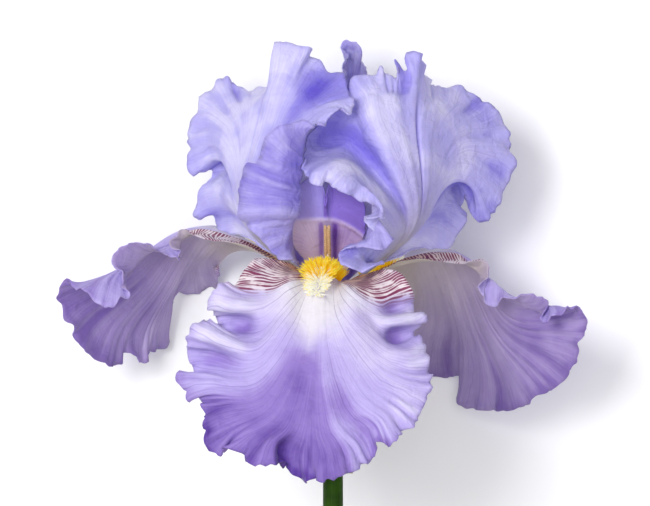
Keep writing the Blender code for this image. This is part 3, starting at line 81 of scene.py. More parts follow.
FRONT_FALL: Rings = (
    (0, ((0, -2.2, 0.75, 5.2), (61, 2.2, 0.75, 5.2))),
    (0.14, ((0, -3.9, 1.7, 9), (5, -3.6, 2.4, 13), (10, -4, 3.2, 18), (22, -4.8, 4.5, 24.5),
        (31, -3.6, 4.7, 27), (40, -1.6, 4.3, 25.5), (51, 1.2, 3.1, 18.5), (56, 2.2, 2.4, 13),
        (61, 3.6, 1.7, 9))),
    (0.3, ((0, -5.6, 2.6, 12), (2, -6.2, 4, 18), (4, -8.2, 5, 24.5), (8, -10.5, 3, 31), (14, -11.5, -3, 36),
        (20, -11, -10, 39.5), (27, -8.5, -15, 42), (34, -5.5, -17, 43.5), (41, -2, -14.5, 43),
        (48, 2, -7.5, 39.5), (54, 4, -0.5, 34.5), (58, 4.4, 3.6, 27), (60, 4.4, 3.5, 18), (61, 5, 2.6, 12))),
    (0.52, ((0, -7.2, 3.9, 14.3), (1.5, -9, 5.6, 20), (3, -12, 6, 25.5), (6, -16, 3, 31), (9, -18.5, -2, 35),
        (11, -20, -6.5, 36.8), (13, -20.5, -11.5, 37.6), (16, -22, -18, 41), (20, -22, -25, 43.5),
        (24, -19.5, -31, 46), (28, -15.5, -35, 48), (32, -11, -38, 50.5), (36, -6, -38.5, 51),
        (40, 1, -36, 50), (44, 8, -30, 48), (47, 12, -24, 46), (50, 13.5, -17, 43), (52.5, 13.5, -11.5, 39),
        (54.5, 12.5, -6.5, 37), (57, 11, -0.5, 34), (59, 8.2, 3.7, 28.5), (60, 6.8, 3.9, 21),
        (61, 6.3, 3.3, 14.3))),
    (0.78, ((0, -8.6, 5, 16), (1, -10.8, 6.6, 20), (2, -13.5, 7.2, 23.5), (4, -19, 7.4, 27.5),
        (6, -23, 3.5, 31), (8, -26, -0.5, 34), (10, -29.5, -4.2, 37.5), (12, -27.5, -9, 32),
        (14, -29.5, -13.5, 38.5), (16, -34.5, -15, 40.5), (18, -35.5, -20, 36), (20, -37, -25, 39),
        (22, -35.5, -29.5, 44), (24, -32.5, -34, 45), (26, -30.5, -40, 46.5), (28, -26.5, -43, 48),
        (30, -21.5, -45, 52), (32, -16.5, -45.5, 53), (33.5, -14, -46.5, 48.5), (35, -9.5, -49.5, 48.5),
        (37, -2, -48.5, 53.5), (39, 5.5, -47, 50.5), (41, 9.5, -43.5, 49), (43, 14, -39, 51),
        (45, 18.5, -36, 48.5), (47, 22, -31, 46.5), (49, 23, -24, 44), (51, 21.5, -17.5, 41),
        (52.3, 20, -13.8, 34), (53.5, 20.5, -9.6, 38.5), (55, 18.5, -5.5, 31), (56.5, 18, -1, 34),
        (58, 15.5, 3.8, 30.5), (60, 9.3, 4.5, 24), (61, 7.4, 3.9, 16))),
    (1, ((-9.3, 5.6, 16.8), (-12.5, 7.8, 20), (-15.8, 8.9, 22.5), (-19.5, 9.3, 24), (-23, 9.3, 25),
        (-25.7, 6.6, 28), (-27.7, 3.4, 30), (-29.2, 0.8, 32), (-31, 2.6, 34.5), (-34.3, 0.2, 35.5),
        (-36.8, -3, 35), (-36.8, -6.5, 33.5), (-33.5, -9.5, 31), (-32.6, -11.2, 32.5), (-35.8, -9.6, 36.5),
        (-39.5, -9.2, 39), (-42.7, -12, 40), (-43.3, -16, 39), (-42.2, -20, 36), (-42, -23, 35.5),
        (-44.6, -25, 39), (-45.3, -28, 41.5), (-43, -32.2, 41), (-39.8, -31.8, 41), (-38.6, -35.5, 44.5),
        (-38, -40, 47.5), (-37.6, -44.5, 48.5), (-34, -49, 46.5), (-31, -46.8, 46), (-28, -48, 49.5),
        (-25.5, -50.7, 53), (-21, -51.8, 55.5), (-16.5, -51.6, 55), (-13, -50.3, 50), (-12.5, -54, 47),
        (-9, -56.2, 48.5), (-5, -56.3, 53), (-1, -55.8, 56), (3, -54.2, 54), (7, -53.2, 50.5), (10, -51, 48),
        (12.5, -49.8, 48.5), (13.3, -45.5, 51), (16.5, -45, 53), (20.5, -43.5, 50.5), (22.5, -40, 48),
        (26, -37.3, 47.5), (28.3, -33.5, 45.5), (29.3, -28.5, 43), (29.2, -24, 41), (28.3, -19.5, 39),
        (27, -15.8, 36), (25.8, -13, 30.5), (27.2, -9.5, 34), (25.5, -7, 33), (23.8, -4, 27.5),
        (23.8, -0.5, 31), (22.3, 3, 31), (19.5, 5.6, 29), (15.5, 6.2, 26.5), (11.5, 5.3, 22.5),
        (8, 4.2, 16.8))),
)

LEFT_FALL: Rings = (
    (0, ((0, -3.4, 0.7, -4.5), (52, -5.6, 0.7, -0.7))),
    (0.14, ((0, -8.5, 5, -9.6), (4, -12, 8, -11.8), (10, -17, 12.3, -14), (20, -24, 15.3, -17),
        (30, -26.5, 15.3, -15), (40, -22.5, 13.5, -10), (48, -15.5, 9.2, -6.5), (52, -11.5, 6, -3.3))),
    (0.3, ((0, -10.8, 6.2, -11.8), (2, -15.5, 10, -14.3), (5, -24, 15.2, -20), (10, -31, 17.4, -25),
        (16, -36.5, 18.4, -27.5), (24, -41, 18.9, -27), (32, -42.5, 18.4, -23.5), (38, -40.5, 17.8, -21),
        (45, -35, 17.4, -18), (50, -21, 12.2, -8.5), (52, -13.5, 7.1, -3.5))),
    (0.52, ((0, -13.2, 7.6, -14.3), (1, -18.5, 11.3, -17), (3, -28.5, 14.8, -26), (6, -36, 11, -35),
        (9, -42.5, 7, -38), (12, -46.5, 2, -37.5), (16, -50.5, -1, -34), (20, -54.5, 0, -29.5),
        (24, -58.5, 3.5, -24.5), (28, -60, 7.5, -20), (32, -58.5, 9.5, -17), (36, -55.5, 11, -16.5),
        (40, -50.5, 13.2, -18.5), (44, -45.5, 14.8, -20.5), (48, -37.5, 17.2, -18), (51, -22, 12, -8),
        (52, -16.3, 8.6, -3.7))),
    (0.78, ((0, -15.6, 8.7, -16.8), (1, -21, 12.2, -20.8), (2, -26, 13.8, -26), (4, -32, 11, -33.5),
        (6, -36, 6, -42), (8, -42, 3, -45.5), (10, -47, -1.5, -42), (12, -49.5, -10, -41.5),
        (14, -54.5, -12, -37), (16, -57.5, -13.5, -35), (18, -61, -12.5, -29.5), (20, -65, -13, -25),
        (22, -69.5, -10.5, -18.5), (24, -73, -6.5, -13), (26, -75.5, -1.5, -9.5), (28, -75.5, 2, -5),
        (30, -72.5, 2.2, -1.5), (32, -68, 2.4, -0.5), (34, -63, 3, -4.5), (36, -60.5, 5.2, -9),
        (38, -59.5, 8.7, -10), (40, -56, 12, -11.5), (42, -50.8, 11.6, -16), (44, -46.3, 12.2, -18),
        (46, -45.6, 15.5, -19), (48, -39, 16.7, -16), (50, -29.3, 15.2, -11), (51, -24, 12.9, -8),
        (52, -18.3, 9.5, -4))),
    (1, ((-17.5, 9.4, -18.7), (-22.3, 11.9, -23.4), (-27, 12.6, -28.8), (-30.8, 11.5, -33.5),
        (-33.6, 8.6, -37), (-35.5, 6.3, -40.7), (-34.5, 2.5, -45), (-37, -0.3, -49.7), (-42, -1, -49.7),
        (-47.5, -0.8, -47), (-50, -4.5, -43), (-51, -10, -42.5), (-50, -17.2, -45), (-53.5, -18.6, -42),
        (-55.6, -18.5, -38), (-56.3, -22.4, -36), (-59.2, -22.3, -35), (-59.8, -20, -32), (-62.8, -19, -30),
        (-64, -22.8, -28), (-67, -22.8, -24), (-70.5, -21.5, -19), (-74, -18.6, -14), (-76.3, -15.2, -10),
        (-78.3, -11.3, -8), (-80.2, -8.5, -6), (-80.2, -4.5, -5), (-82.2, -2.5, -3), (-82, 1, -1),
        (-80, 2.6, 0), (-76.5, 0.4, 4), (-73, -0.6, 6), (-69.8, -4, 7), (-66, -5, 6.5), (-62.8, -3.2, 4.5),
        (-61.6, 0.5, 1), (-63, 3.5, -1), (-65.2, 6.5, -1.5), (-65, 10.5, -2), (-62, 13.7, -4),
        (-58, 14.2, -7), (-54, 13.3, -10), (-50.5, 10.8, -13.5), (-46.5, 8.4, -16), (-45.5, 10, -15.5),
        (-48.2, 13, -15), (-47.8, 16.3, -16), (-44.5, 18, -17), (-40, 15.9, -12.5), (-35.5, 14.8, -10),
        (-30, 14.5, -8), (-25, 13, -6), (-19.5, 10, -4.2))),
)

RIGHT_FALL: Rings = (
    (0, ((0, 5.6, 0.7, -0.7), (44, 3.4, 0.7, -4.5))),
    (0.14, ((0, 10.5, 3.8, -3.1), (4, 14, 5.9, -5.6), (10, 20, 8.6, -9), (18, 24.5, 10.4, -12.5),
        (26, 24, 10.8, -15.5), (34, 18, 9.6, -15.5), (40, 12.2, 6.6, -11.3), (44, 7.8, 3.8, -8.8))),
    (0.3, ((0, 12.5, 4.9, -3.3), (2, 20, 8.4, -7.5), (5, 31, 10.6, -13), (10, 35.5, 11.2, -17.5),
        (16, 38, 11, -21), (23, 37.5, 11.5, -25), (30, 33.5, 12, -27), (36, 26.5, 11.5, -24.5),
        (41, 18.5, 9.2, -18.5), (43, 13.8, 6.8, -13.5), (44, 9.2, 4.6, -10.6))),
    (0.52, ((0, 14.5, 6, -3.5), (1, 20.5, 8.5, -7.5), (3, 33, 9.6, -13), (7, 41.5, 7.2, -18.5),
        (11, 46.5, 4, -19), (15, 51, -0.5, -19.5), (19, 53, -4, -21), (23, 52.5, -9, -24), (27, 49, -12, -29),
        (31, 43.5, -12.5, -35), (35, 37, -9, -40.5), (38, 30, -4.5, -41.5), (41, 22, 2.5, -31.5),
        (43, 17.2, 6.2, -18), (44, 11, 5.3, -13))),
    (0.78, ((0, 16, 6.7, -3.8), (2, 28, 9.6, -10.5), (4, 38, 8.6, -14.8), (6, 44, 7.4, -17.3),
        (8, 45, 3.5, -16.5), (9.5, 45.5, 1.5, -17), (11, 48.5, 1.5, -15.5), (13, 54, -1.8, -13),
        (15, 60.5, -4.5, -9.5), (17, 63, -6.8, -7.5), (19, 66.5, -4.8, -5), (21, 69.5, -6.5, -8.5),
        (23, 68.5, -12.5, -11.5), (25, 65, -19, -15.5), (27, 60, -24, -21.5), (29, 54.5, -27.5, -28),
        (31, 48, -28, -34.5), (33, 42, -27, -40), (35, 38, -21.5, -45), (37, 31.5, -18.5, -48),
        (39, 24, -12, -46), (41, 19.5, -2.5, -35.5), (43, 17.9, 5.3, -20.5), (44, 12.6, 5.6, -15.2))),
    (1, ((17, 7.1, -3.9), (22, 9, -5.5), (28, 9.3, -8), (34, 8.5, -10.5), (38.5, 7.8, -12), (41.5, 8.4, -14),
        (45, 9.2, -15), (47.2, 7, -14), (46.3, 3.5, -13.5), (45, -0.5, -14), (45.8, -4, -13), (48.5, -5, -11),
        (51.5, -3, -10), (55, -1.8, -9), (59, -1.6, -7), (63, -2.4, -5), (64.8, -5.2, -4), (62.6, -8.6, -3),
        (64.5, -9.8, -1.5), (67.5, -7, 0), (71.5, -6.2, 1), (74.7, -4, -1), (75.8, -8.5, -3), (75.4, -13, -5),
        (74.2, -18, -7), (72.3, -23, -9), (69.5, -27.5, -12.5), (65.5, -30.5, -17), (61, -32.5, -22),
        (57, -35.5, -27), (53, -37, -31.5), (48.5, -36.8, -35), (44, -36.2, -38.5), (40.5, -35.9, -41.5),
        (38.2, -33.5, -43.5), (39.8, -29, -45), (36.5, -26, -47.5), (32, -26.8, -49), (27, -25.5, -49.5),
        (22.5, -20, -48), (20.5, -12.5, -43), (17.6, -6, -37), (16.2, -0.3, -30.3), (15.2, 4.4, -23),
        (13.5, 5.8, -16.5))),
)

LEFT_STANDARD: Rings = (
    (0, ((0, -5, 0.65, 0.9), (53, -3.3, 0.65, 3.9))),
    (0.14, ((0, -13.5, 8, 5.5), (26, -14.5, 8.6, 8.3), (53, -8.5, 6, 8.5))),
    (0.3, ((0, -16.5, 10, 6), (6, -22.5, 15, 9), (13, -25, 19, 11.5), (22, -26, 22, 13.5), (30, -25, 22, 16),
        (38, -20.5, 19, 18.5), (46, -14.5, 14, 17), (53, -10, 7, 10.5))),
    (0.52, ((0, -18, 11, 6.2), (1, -20.5, 14.2, 5.6), (3, -26.5, 19, 3.5), (7, -30, 26, 4),
        (11, -30.5, 34, 5), (15, -29, 43, 6), (20, -24.5, 50, 8), (25, -20.5, 52, 12), (30, -14.5, 50, 17.5),
        (34, -11, 45, 22), (38, -10.5, 39, 25.5), (42, -11, 33, 26.5), (46, -12, 25, 25.5),
        (50, -12, 16.5, 21.5), (52, -11.2, 11.5, 16.5), (53, -11.2, 8, 12.3))),
    (0.78, ((0, -19.3, 11.7, 6.2), (1, -23.8, 16.6, 3.2), (2, -28.5, 20, -1.5), (4, -33, 23, -7),
        (6, -35, 27, -7.5), (8, -33, 33.5, -10), (9, -31.5, 37, -13), (11, -35.5, 39, -9),
        (13, -37.5, 45, -9.5), (15, -36, 52, -11), (17, -32, 57, -12), (19, -26.5, 57.5, -9),
        (21, -20, 59, -7), (23, -17, 62.5, -1), (25, -18, 64.5, 8), (27, -13.5, 65, 12), (29, -9, 63, 12.5),
        (31, -4, 60, 15), (33, -1, 55.5, 20), (35, -3.5, 52, 25), (37, -6, 48.5, 30), (39, -9.3, 44, 31.5),
        (41, -10.2, 39, 31.5), (43, -10.5, 34, 31.5), (45, -10.5, 28.5, 31), (47, -11, 23, 30),
        (49, -11.3, 17.5, 28.5), (51, -11, 12.8, 26), (52, -10.6, 12, 20.5), (53, -11.8, 8.4, 13.2))),
    (0.9, ((0, -20, 12, 6.2), (1, -24.9, 16.9, 1.9), (2, -29.5, 19.4, -3.3), (3, -33.8, 20.8, -8.6),
        (5, -38, 23.5, -12), (7, -37.5, 29.5, -11), (9, -33.5, 37, -16), (11, -39, 36.5, -12.5),
        (13, -41.3, 43.5, -13.5), (15, -38.8, 53.3, -15.5), (17, -33.8, 60.5, -17), (19, -27.5, 59.5, -14.5),
        (21, -18.5, 60, -13.5), (23, -14.5, 65.5, -4), (25, -17.9, 70, 6), (27, -11.5, 69.5, 11),
        (29, -7, 66.5, 9.5), (31, -0.5, 63.3, 12.5), (33, 3.5, 56, 21.5), (35, -0.5, 53.2, 27),
        (37, -4, 48.8, 31.5), (39, -12, 47.5, 35.5), (41, -15, 42, 36.5), (43, -16, 36, 36.5),
        (45, -17.5, 30, 36), (47, -17.5, 24, 35), (49, -15.5, 17, 32.5), (51, -12.5, 11.5, 28.5),
        (52, -10.7, 10.9, 22), (53, -12.2, 8.6, 13.6))),
    (1, ((-20.5, 12.2, 6.2), (-25.7, 16.2, 0.8), (-30.3, 17.6, -4.6), (-34.8, 18.7, -9), (-36.2, 21.5, -12),
        (-40.3, 21.7, -14), (-41.4, 25, -13.5), (-39.5, 29, -13), (-37, 33.3, -13.5), (-35.8, 35.8, -16.5),
        (-38.8, 35.5, -14.5), (-42, 34.4, -14), (-43.9, 38.6, -15), (-43.8, 43, -16), (-42.8, 48.5, -17.5),
        (-41, 54, -19), (-38.6, 59, -20.5), (-35, 62.6, -21), (-31.6, 64, -20), (-28, 61.3, -18),
        (-23.5, 60.3, -19), (-18, 60.8, -18), (-14, 63, -13), (-13.5, 67, -6), (-15, 71.5, -1),
        (-17.6, 74, 4), (-13.8, 74, 7), (-9.8, 73, 9.5), (-6.6, 73, 9), (-5.2, 69.5, 7), (-1.5, 66.9, 9),
        (2.5, 65.3, 11), (4.5, 61, 16), (6.3, 56, 21.5), (5.5, 52, 25), (2.3, 53.6, 27.5), (-0.8, 51.5, 28.5),
        (-2.6, 48.4, 31), (-6.5, 49.8, 34), (-11, 50.1, 35), (-15.5, 49.2, 35.5), (-19, 46.6, 34.5),
        (-21.3, 42, 33.5), (-22, 37.9, 34), (-25.5, 37.7, 32.5), (-26.9, 33, 32.5), (-28.1, 28, 32.5),
        (-27.8, 23.5, 32), (-25.4, 19, 31), (-21.8, 15.4, 30), (-17.8, 12.5, 29), (-14.2, 9, 27.5),
        (-10, 8.3, 22), (-12.3, 8.8, 14))),
)

RIGHT_STANDARD: Rings = (
    (0, ((0, 3.3, 0.65, 3.9), (60, 5, 0.65, 0.9))),
    (0.14, ((0, 8, 4.3, 8.6), (37, 12, 6.5, 8), (60, 12, 6.5, 4.5))),
    (0.3, ((0, 9.5, 5, 11), (8, 13.5, 9, 16), (16, 18.5, 14.5, 18.5), (24, 22, 18.5, 18),
        (32, 24.5, 20, 16.5), (38, 25.5, 20, 14.5), (46, 25.5, 19, 12), (54, 23.5, 15.5, 9.5),
        (60, 15, 8, 5.5))),
    (0.52, ((0, 10.2, 5.5, 12.3), (1, 10, 7, 15), (4, 9, 9, 21.5), (8, 10.5, 14, 25), (12, 12, 21, 27),
        (16, 11.5, 28, 27.5), (20, 8.5, 34, 28), (24, 7.5, 40.5, 17.5), (28, 12, 48, 23.5),
        (32, 18, 52, 19.5), (37, 25.3, 50, 15), (41, 31, 48, 8), (45, 35, 43, 3), (49, 36, 36, 0),
        (52, 34, 30, 0), (55, 31, 24, 3), (58, 27, 17, 5.5), (60, 17, 8.8, 6.3))),
    (0.78, ((0, 11, 6, 13.3), (1, 11.3, 8, 18.5), (2, 11.5, 8.6, 25), (4, 8.5, 9, 30), (6, 7, 12.5, 28),
        (8, 11, 15.5, 31.5), (10, 15, 19, 30), (12, 13.5, 23, 30.5), (14, 14.5, 26, 35.5),
        (16, 10.5, 30, 33.5), (18, 6, 33, 35), (20, 1, 35.5, 35), (22, -4, 37, 32.5), (24, -2.5, 42.5, 16.5),
        (26, 2.5, 50, 16.5), (28, 8.5, 57, 17.5), (30, 13.5, 60, 16), (33, 19, 59.5, 14.5),
        (35, 22.5, 61.5, 12.5), (37, 26.2, 63, 11), (39, 30, 57.5, 1), (41, 36, 57, -5.5), (43, 41, 54, -8),
        (45, 45.5, 48.5, -10), (47, 47.5, 41.5, -11), (49, 46, 34, -11), (51, 43, 29, -10.5),
        (52.5, 41, 31, -13.5), (53.5, 38.5, 31.5, -14.5), (55, 37.5, 25.5, -6), (57, 34, 17.5, -3),
        (59, 25, 13.8, 3.5), (60, 18.7, 9.4, 7))),
    (0.9, ((0, 11.3, 6.3, 13.8), (1, 12.9, 8.3, 20), (2, 13, 8, 27), (4, 7, 7.6, 32.5), (6, 4.5, 12.3, 29),
        (8, 10.5, 13.8, 33), (10, 16.2, 17, 30.3), (12, 11, 21.7, 30.8), (14, 15.3, 23, 37.5),
        (16, 10, 27.8, 32.8), (18, 4.3, 31, 37), (20, -1, 34, 36.5), (22, -6.5, 35, 34.5),
        (24, -6, 42.3, 18.5), (26, 0, 50.8, 17.5), (28, 6.3, 58.5, 16.3), (30, 12.5, 62.3, 14.5),
        (32, 16.8, 62.3, 13.8), (33, 19.3, 61.6, 13.5), (34, 20, 65.3, 12.8), (35, 22.2, 64.4, 11.8),
        (37, 26.3, 67.5, 10), (39, 29.3, 59.8, -2), (41, 36.2, 59.5, -8.5), (43, 43, 56, -11.5),
        (45, 49.5, 49.8, -13.5), (47, 51.8, 40.5, -14.5), (49, 49.5, 29.8, -14.5), (51, 44, 23.8, -13.5),
        (52.5, 41.6, 27.5, -16), (53.5, 39.4, 29, -16), (55, 39.2, 23.3, -8.5), (57, 34.8, 15, -4.5),
        (59, 25.3, 13.2, 3.2), (60, 19.5, 9.7, 7.2))),
    (1, ((11.5, 6.5, 14), (14.5, 9, 21), (14.5, 8, 28), (11, 6.2, 32), (6.5, 6.2, 33.5), (2.8, 8.2, 33),
        (2.4, 11.4, 31), (5.5, 13, 29.5), (10, 12.6, 33), (15, 12, 34.5), (17.5, 15, 31), (13, 17.5, 30.5),
        (8.8, 20.5, 32), (11.5, 22.3, 35.5), (15.8, 21, 37), (15, 24.5, 34), (10, 26, 32.5), (6.5, 27.5, 34),
        (3, 29.4, 36), (0, 31, 36.5), (-2.2, 32.6, 35.5), (-4.8, 31, 36), (-7.6, 33.6, 34.5),
        (-8.2, 37.5, 30), (-8, 42, 23), (-6, 47, 20), (-2, 51.5, 18.5), (1.5, 56, 17), (4.5, 60, 15),
        (8, 64.3, 13), (11.8, 64.3, 13), (14.6, 67.5, 13), (16.5, 64.8, 12), (19.6, 63, 12), (18.8, 69, 12),
        (22, 66, 10.5), (22.3, 70.8, 10), (26.4, 71.3, 9), (27.5, 66, 2), (29, 61.3, -4), (32.5, 60.6, -8),
        (36.5, 61.5, -11), (41, 60.2, -13), (44.5, 57.7, -14), (48.5, 55, -15), (52, 50.5, -16),
        (54, 44.5, -17), (54.4, 38.5, -17.5), (53.4, 32.5, -17.5), (51, 27.4, -17), (48.4, 22.8, -16),
        (44.5, 20.2, -15.5), (42.3, 22.5, -16), (40.6, 28.5, -18.5), (39.6, 27, -14), (40.3, 22, -11),
        (38.8, 17, -9), (35.5, 13, -6), (30.5, 12.3, -2), (25.5, 12.8, 3), (20.5, 10, 7.5))),
)

REAR_STANDARD: Rings = (
    (0, ((0, 1.7, 0.65, -4.8), (33, -1.7, 0.65, -4.8))),
    (0.14, ((0, 3.2, 4, -8.5), (16.5, 0, 5.5, -10.5), (33, -3.2, 4, -8.5))),
    (0.3, ((0, 4, 5.3, -9.5), (4, 8, 14, -19), (8, 7.5, 19, -24), (16.5, 0.5, 21, -26), (25, -7, 19, -24),
        (29, -8, 14, -19), (33, -4, 5.3, -9.5))),
    (0.52, ((0, 4.7, 6.3, -10.2), (3, 15, 18.5, -27), (6, 19, 30, -37), (9, 15, 39, -40), (12, 9, 45, -39),
        (16.5, 2.5, 48, -40.5), (20, -2, 45.5, -39.5), (24, -13, 39, -40), (27, -18.5, 30, -37.5),
        (30, -15, 18.5, -27), (33, -4.7, 6.3, -10.2))),
    (0.78, ((0, 5.1, 7, -10.7), (2, 16, 17, -25), (4, 25, 27, -39), (6, 25.5, 36.5, -47), (8, 25, 45, -42),
        (10, 18, 51, -44.5), (12, 11, 55.5, -39), (14, 8, 61, -33), (16.5, 6, 64, -32), (19, 3, 60.5, -34),
        (21, -4, 54.5, -41), (23, -13.5, 50.5, -43), (25, -21.5, 46, -42.5), (27, -25.5, 36.5, -47),
        (29, -24.5, 27, -39), (31, -16, 17, -25), (33, -5.1, 7, -10.7))),
    (1, ((5.5, 7.5, -11), (12, 12, -16), (19, 17, -24), (25, 22, -33), (30, 28, -40), (31.5, 34, -46),
        (28.5, 39, -49.5), (31, 44, -44), (30, 50, -40), (25, 54, -39), (20.5, 57, -42), (15, 59.5, -40),
        (11.5, 62, -33), (10.3, 66.8, -26), (9.2, 69.5, -23), (9.6, 72, -20), (7.5, 74.3, -18),
        (5.2, 73.8, -19), (3.6, 73.8, -20), (3.7, 66, -25), (0.5, 61.5, -31), (-5, 59.5, -38),
        (-11, 57.5, -42), (-16, 55.5, -40), (-21, 55, -42), (-26, 51, -41), (-29.5, 46, -44),
        (-28, 41, -49.5), (-31, 35, -46), (-29.5, 28.5, -40), (-25, 22.5, -33), (-19, 17, -24),
        (-12, 12, -16), (-5.5, 7.5, -11))),
)

# One style arm over the front fall, with the two upright crests past its lip.
STYLE_ARM: Rings = (
    (0, ((0, -1.5, 0.6, 1.9), (18, 1.5, 0.6, 1.9))),
    (0.35, ((0, -2.5, 2.2, 3), (1, -2.6, 3.6, 3.9), (4, -3.6, 8, 5.8), (9, -1.2, 12.5, 7.4),
        (14, 2.6, 8, 5.8), (17, 2.2, 3.6, 3.9), (18, 2.4, 2.2, 3))),
    (0.7, ((0, -3.9, 4, 4.6), (1, -5.2, 7.2, 6.9), (2, -7.4, 11.5, 9.9), (4, -8.8, 18, 15),
        (6.5, -5.5, 22, 17), (9, -1.7, 20, 16), (11.5, 2.1, 22, 17), (14, 6.4, 18, 15), (16, 5.8, 11.5, 9.9),
        (17, 4.2, 7.2, 6.9), (18, 3.3, 4, 4.6))),
    (1, ((-4.7, 5, 5.3), (-7.8, 8.7, 8.8), (-11, 12.5, 13.2), (-12.6, 17, 17), (-12.9, 22, 20), (-12, 28, 22),
        (-8.8, 32.5, 21.5), (-4.8, 33.6, 20), (-2.5, 30.5, 21), (-1.9, 24.5, 21.5), (-1.3, 30.5, 20.6),
        (1.3, 33, 19.6), (5.4, 32, 20.5), (9.2, 27, 22), (10, 21.5, 20), (9.8, 17, 17), (8.2, 12.5, 12.9),
        (6, 8.7, 8.8), (4, 5, 5.3))),
)


def linear(hex_colour: str) -> tuple[float, float, float, float]:
    """Turns an sRGB hex colour into linear light.

    Args:
        hex_colour: The colour as "#RRGGBB".

    Returns:
        Red, green, blue and alpha, as Blender's sockets take them.
    """
    parts = [int(hex_colour[i:i + 2], 16) / 255 for i in (1, 3, 5)]
    light = [part / 12.92 if part <= 0.04045 else ((part + 0.055) / 1.055) ** 2.4 for part in parts]
    return (light[0], light[1], light[2], 1.0)


def add_node(tree: NodeTree, kind: str, feeds: dict | tuple = (), stops: Stops = (),
             **settings: str) -> Node:
    """Adds a shader node with its settings, and feeds its inputs with values or from other nodes.

    Args:
        tree: The node tree.
        kind: The node's type, such as "Math".
        feeds: What goes into its inputs, by name or number, or in their order. Each is a value, a hex
            colour, an output socket, or a node whose first output in use is meant.
        stops: A colour ramp's places and hex colours.
        settings: The node's own choices.

    Returns:
        The new node.
    """
    node = tree.nodes.new("ShaderNode" + kind)
    for name, value in settings.items():
        setattr(node, name, value)
    if stops:
        bar = node.color_ramp
        bar.interpolation = "EASE"
        while len(bar.elements) < len(stops):
            bar.elements.new(0.5)
        for stop, (place, colour) in zip(bar.elements, stops):
            stop.position = place
            stop.color = linear(colour)
    for name, feed in feeds.items() if isinstance(feeds, dict) else enumerate(feeds):
        if isinstance(feed, Node):
            feed = next(output for output in feed.outputs if output.enabled)
        if isinstance(feed, NodeSocket):
            tree.links.new(feed, node.inputs[name])
        else:
            node.inputs[name].default_value = linear(feed) if isinstance(feed, str) else feed
    return node


def soft_step(value: Array, low: float, high: float) -> Array:
    """Rises smoothly from 0 at low to 1 at high, or falls where low is the greater."""
    f = np.clip((value - low) / (high - low), 0, 1)
    return f * f * (3 - 2 * f)


def unit(vectors: Array, guard: float = 0.0) -> Array:
    """Scales vectors to length 1. A small guard keeps a vector of no length from dividing by 0."""
    return vectors / (np.linalg.norm(vectors, axis=-1, keepdims=True) + guard)


def walked(points: Array) -> Array:
    """How far each point of a row lies from the first, along the row."""
    return np.concatenate([[0], np.cumsum(np.linalg.norm(np.diff(points, axis=0), axis=1))])


def beside(grid: Array) -> Array:
    """The sum of the four neighbours of each inner point of a grid."""
    return grid[:-2, 1:-1] + grid[2:, 1:-1] + grid[1:-1, :-2] + grid[1:-1, 2:]


def read_smooth(knots: Array, points: Array, at: Array) -> Array:
    """Reads a smooth curve through points at uneven knots, at many places at once.

    Args:
        knots: The rising places of the points.
        points: One row of numbers for each knot.
        at: The places to read.

    Returns:
        One row of numbers for each place.
    """
    last = len(knots) - 1
    at = np.clip(at, knots[0], knots[-1])
    start = np.clip(np.searchsorted(knots, at, side="left") - 1, 0, last - 1)
    gaps = np.diff(knots)[:, None]
    rises = np.diff(points, axis=0) / gaps
    slopes = np.empty_like(points)
    slopes[0], slopes[-1] = rises[0], rises[-1]
    slopes[1:-1] = (rises[:-1] * gaps[1:] + rises[1:] * gaps[:-1]) / (gaps[:-1] + gaps[1:])
    gap = gaps[start]
    f = ((at - knots[start])[:, None]) / gap
    return (points[start] * (2 * f**3 - 3 * f**2 + 1) + points[start + 1] * (3 * f**2 - 2 * f**3)
            + slopes[start] * gap * (f**3 - 2 * f**2 + f) + slopes[start + 1] * gap * (f**3 - f**2))


class Surface:
    """A petal's middle surface through its rings of points."""

    def __init__(self, rings: Rings) -> None:
        """Reads the rings.

        Args:
            rings: The share of each ring with its numbered points, from the claw out.
        """
        self.shares = np.array([share for share, _ in rings])
        tables = [np.array(rows, float) for _, rows in rings]
        self.rings = [(table[:, 0], table[:, 1:]) for table in tables[:-1]]
        self.rings.append((np.arange(len(tables[-1]), dtype=float), tables[-1]))
        self.last = float(len(tables[-1]) - 1)

    def sheet(self, numbers: Array, shares: Array) -> Array:
        """Reads the surface on a grid.

        Args:
            numbers: Margin numbers, one for each column.
            shares: Shares of the way from claw to margin, one for each row.

        Returns:
            Points in millimetres, by column and row.
        """
        across = np.stack([read_smooth(knots, points, numbers) for knots, points in self.rings])
        flat = across.reshape(len(self.rings), -1)
        return read_smooth(self.shares, flat, shares).reshape(len(shares), len(numbers), 3).transpose(1, 0, 2)

    def even_numbers(self, count: int) -> Array:
        """Margin numbers at nearly even steps along the margin.

        Args:
            count: How many steps.

        Returns:
            The numbers, from 0 to the last.
        """
        fine = np.linspace(0, self.last, 1201)
        way = walked(read_smooth(*self.rings[-1], fine))
        even = np.interp(np.linspace(0, way[-1], count + 1), way, fine)
        return 0.7 * even + 0.3 * np.linspace(0, self.last, count + 1)

    def even_shares(self, count: int) -> Array:
        """Shares at even steps along the middle vein.

        Args:
            count: How many steps.

        Returns:
            The shares, from 0 to 1.
        """
        fine = np.linspace(0, 1, 601)
        lines = self.sheet(np.linspace(0.3, 0.7, 5) * self.last, fine)
        steps = np.linalg.norm(np.diff(lines, axis=1), axis=2).mean(axis=0)
        way = np.concatenate([[0], np.cumsum(steps)])
        return np.interp(np.linspace(0, way[-1], count + 1), way, fine)


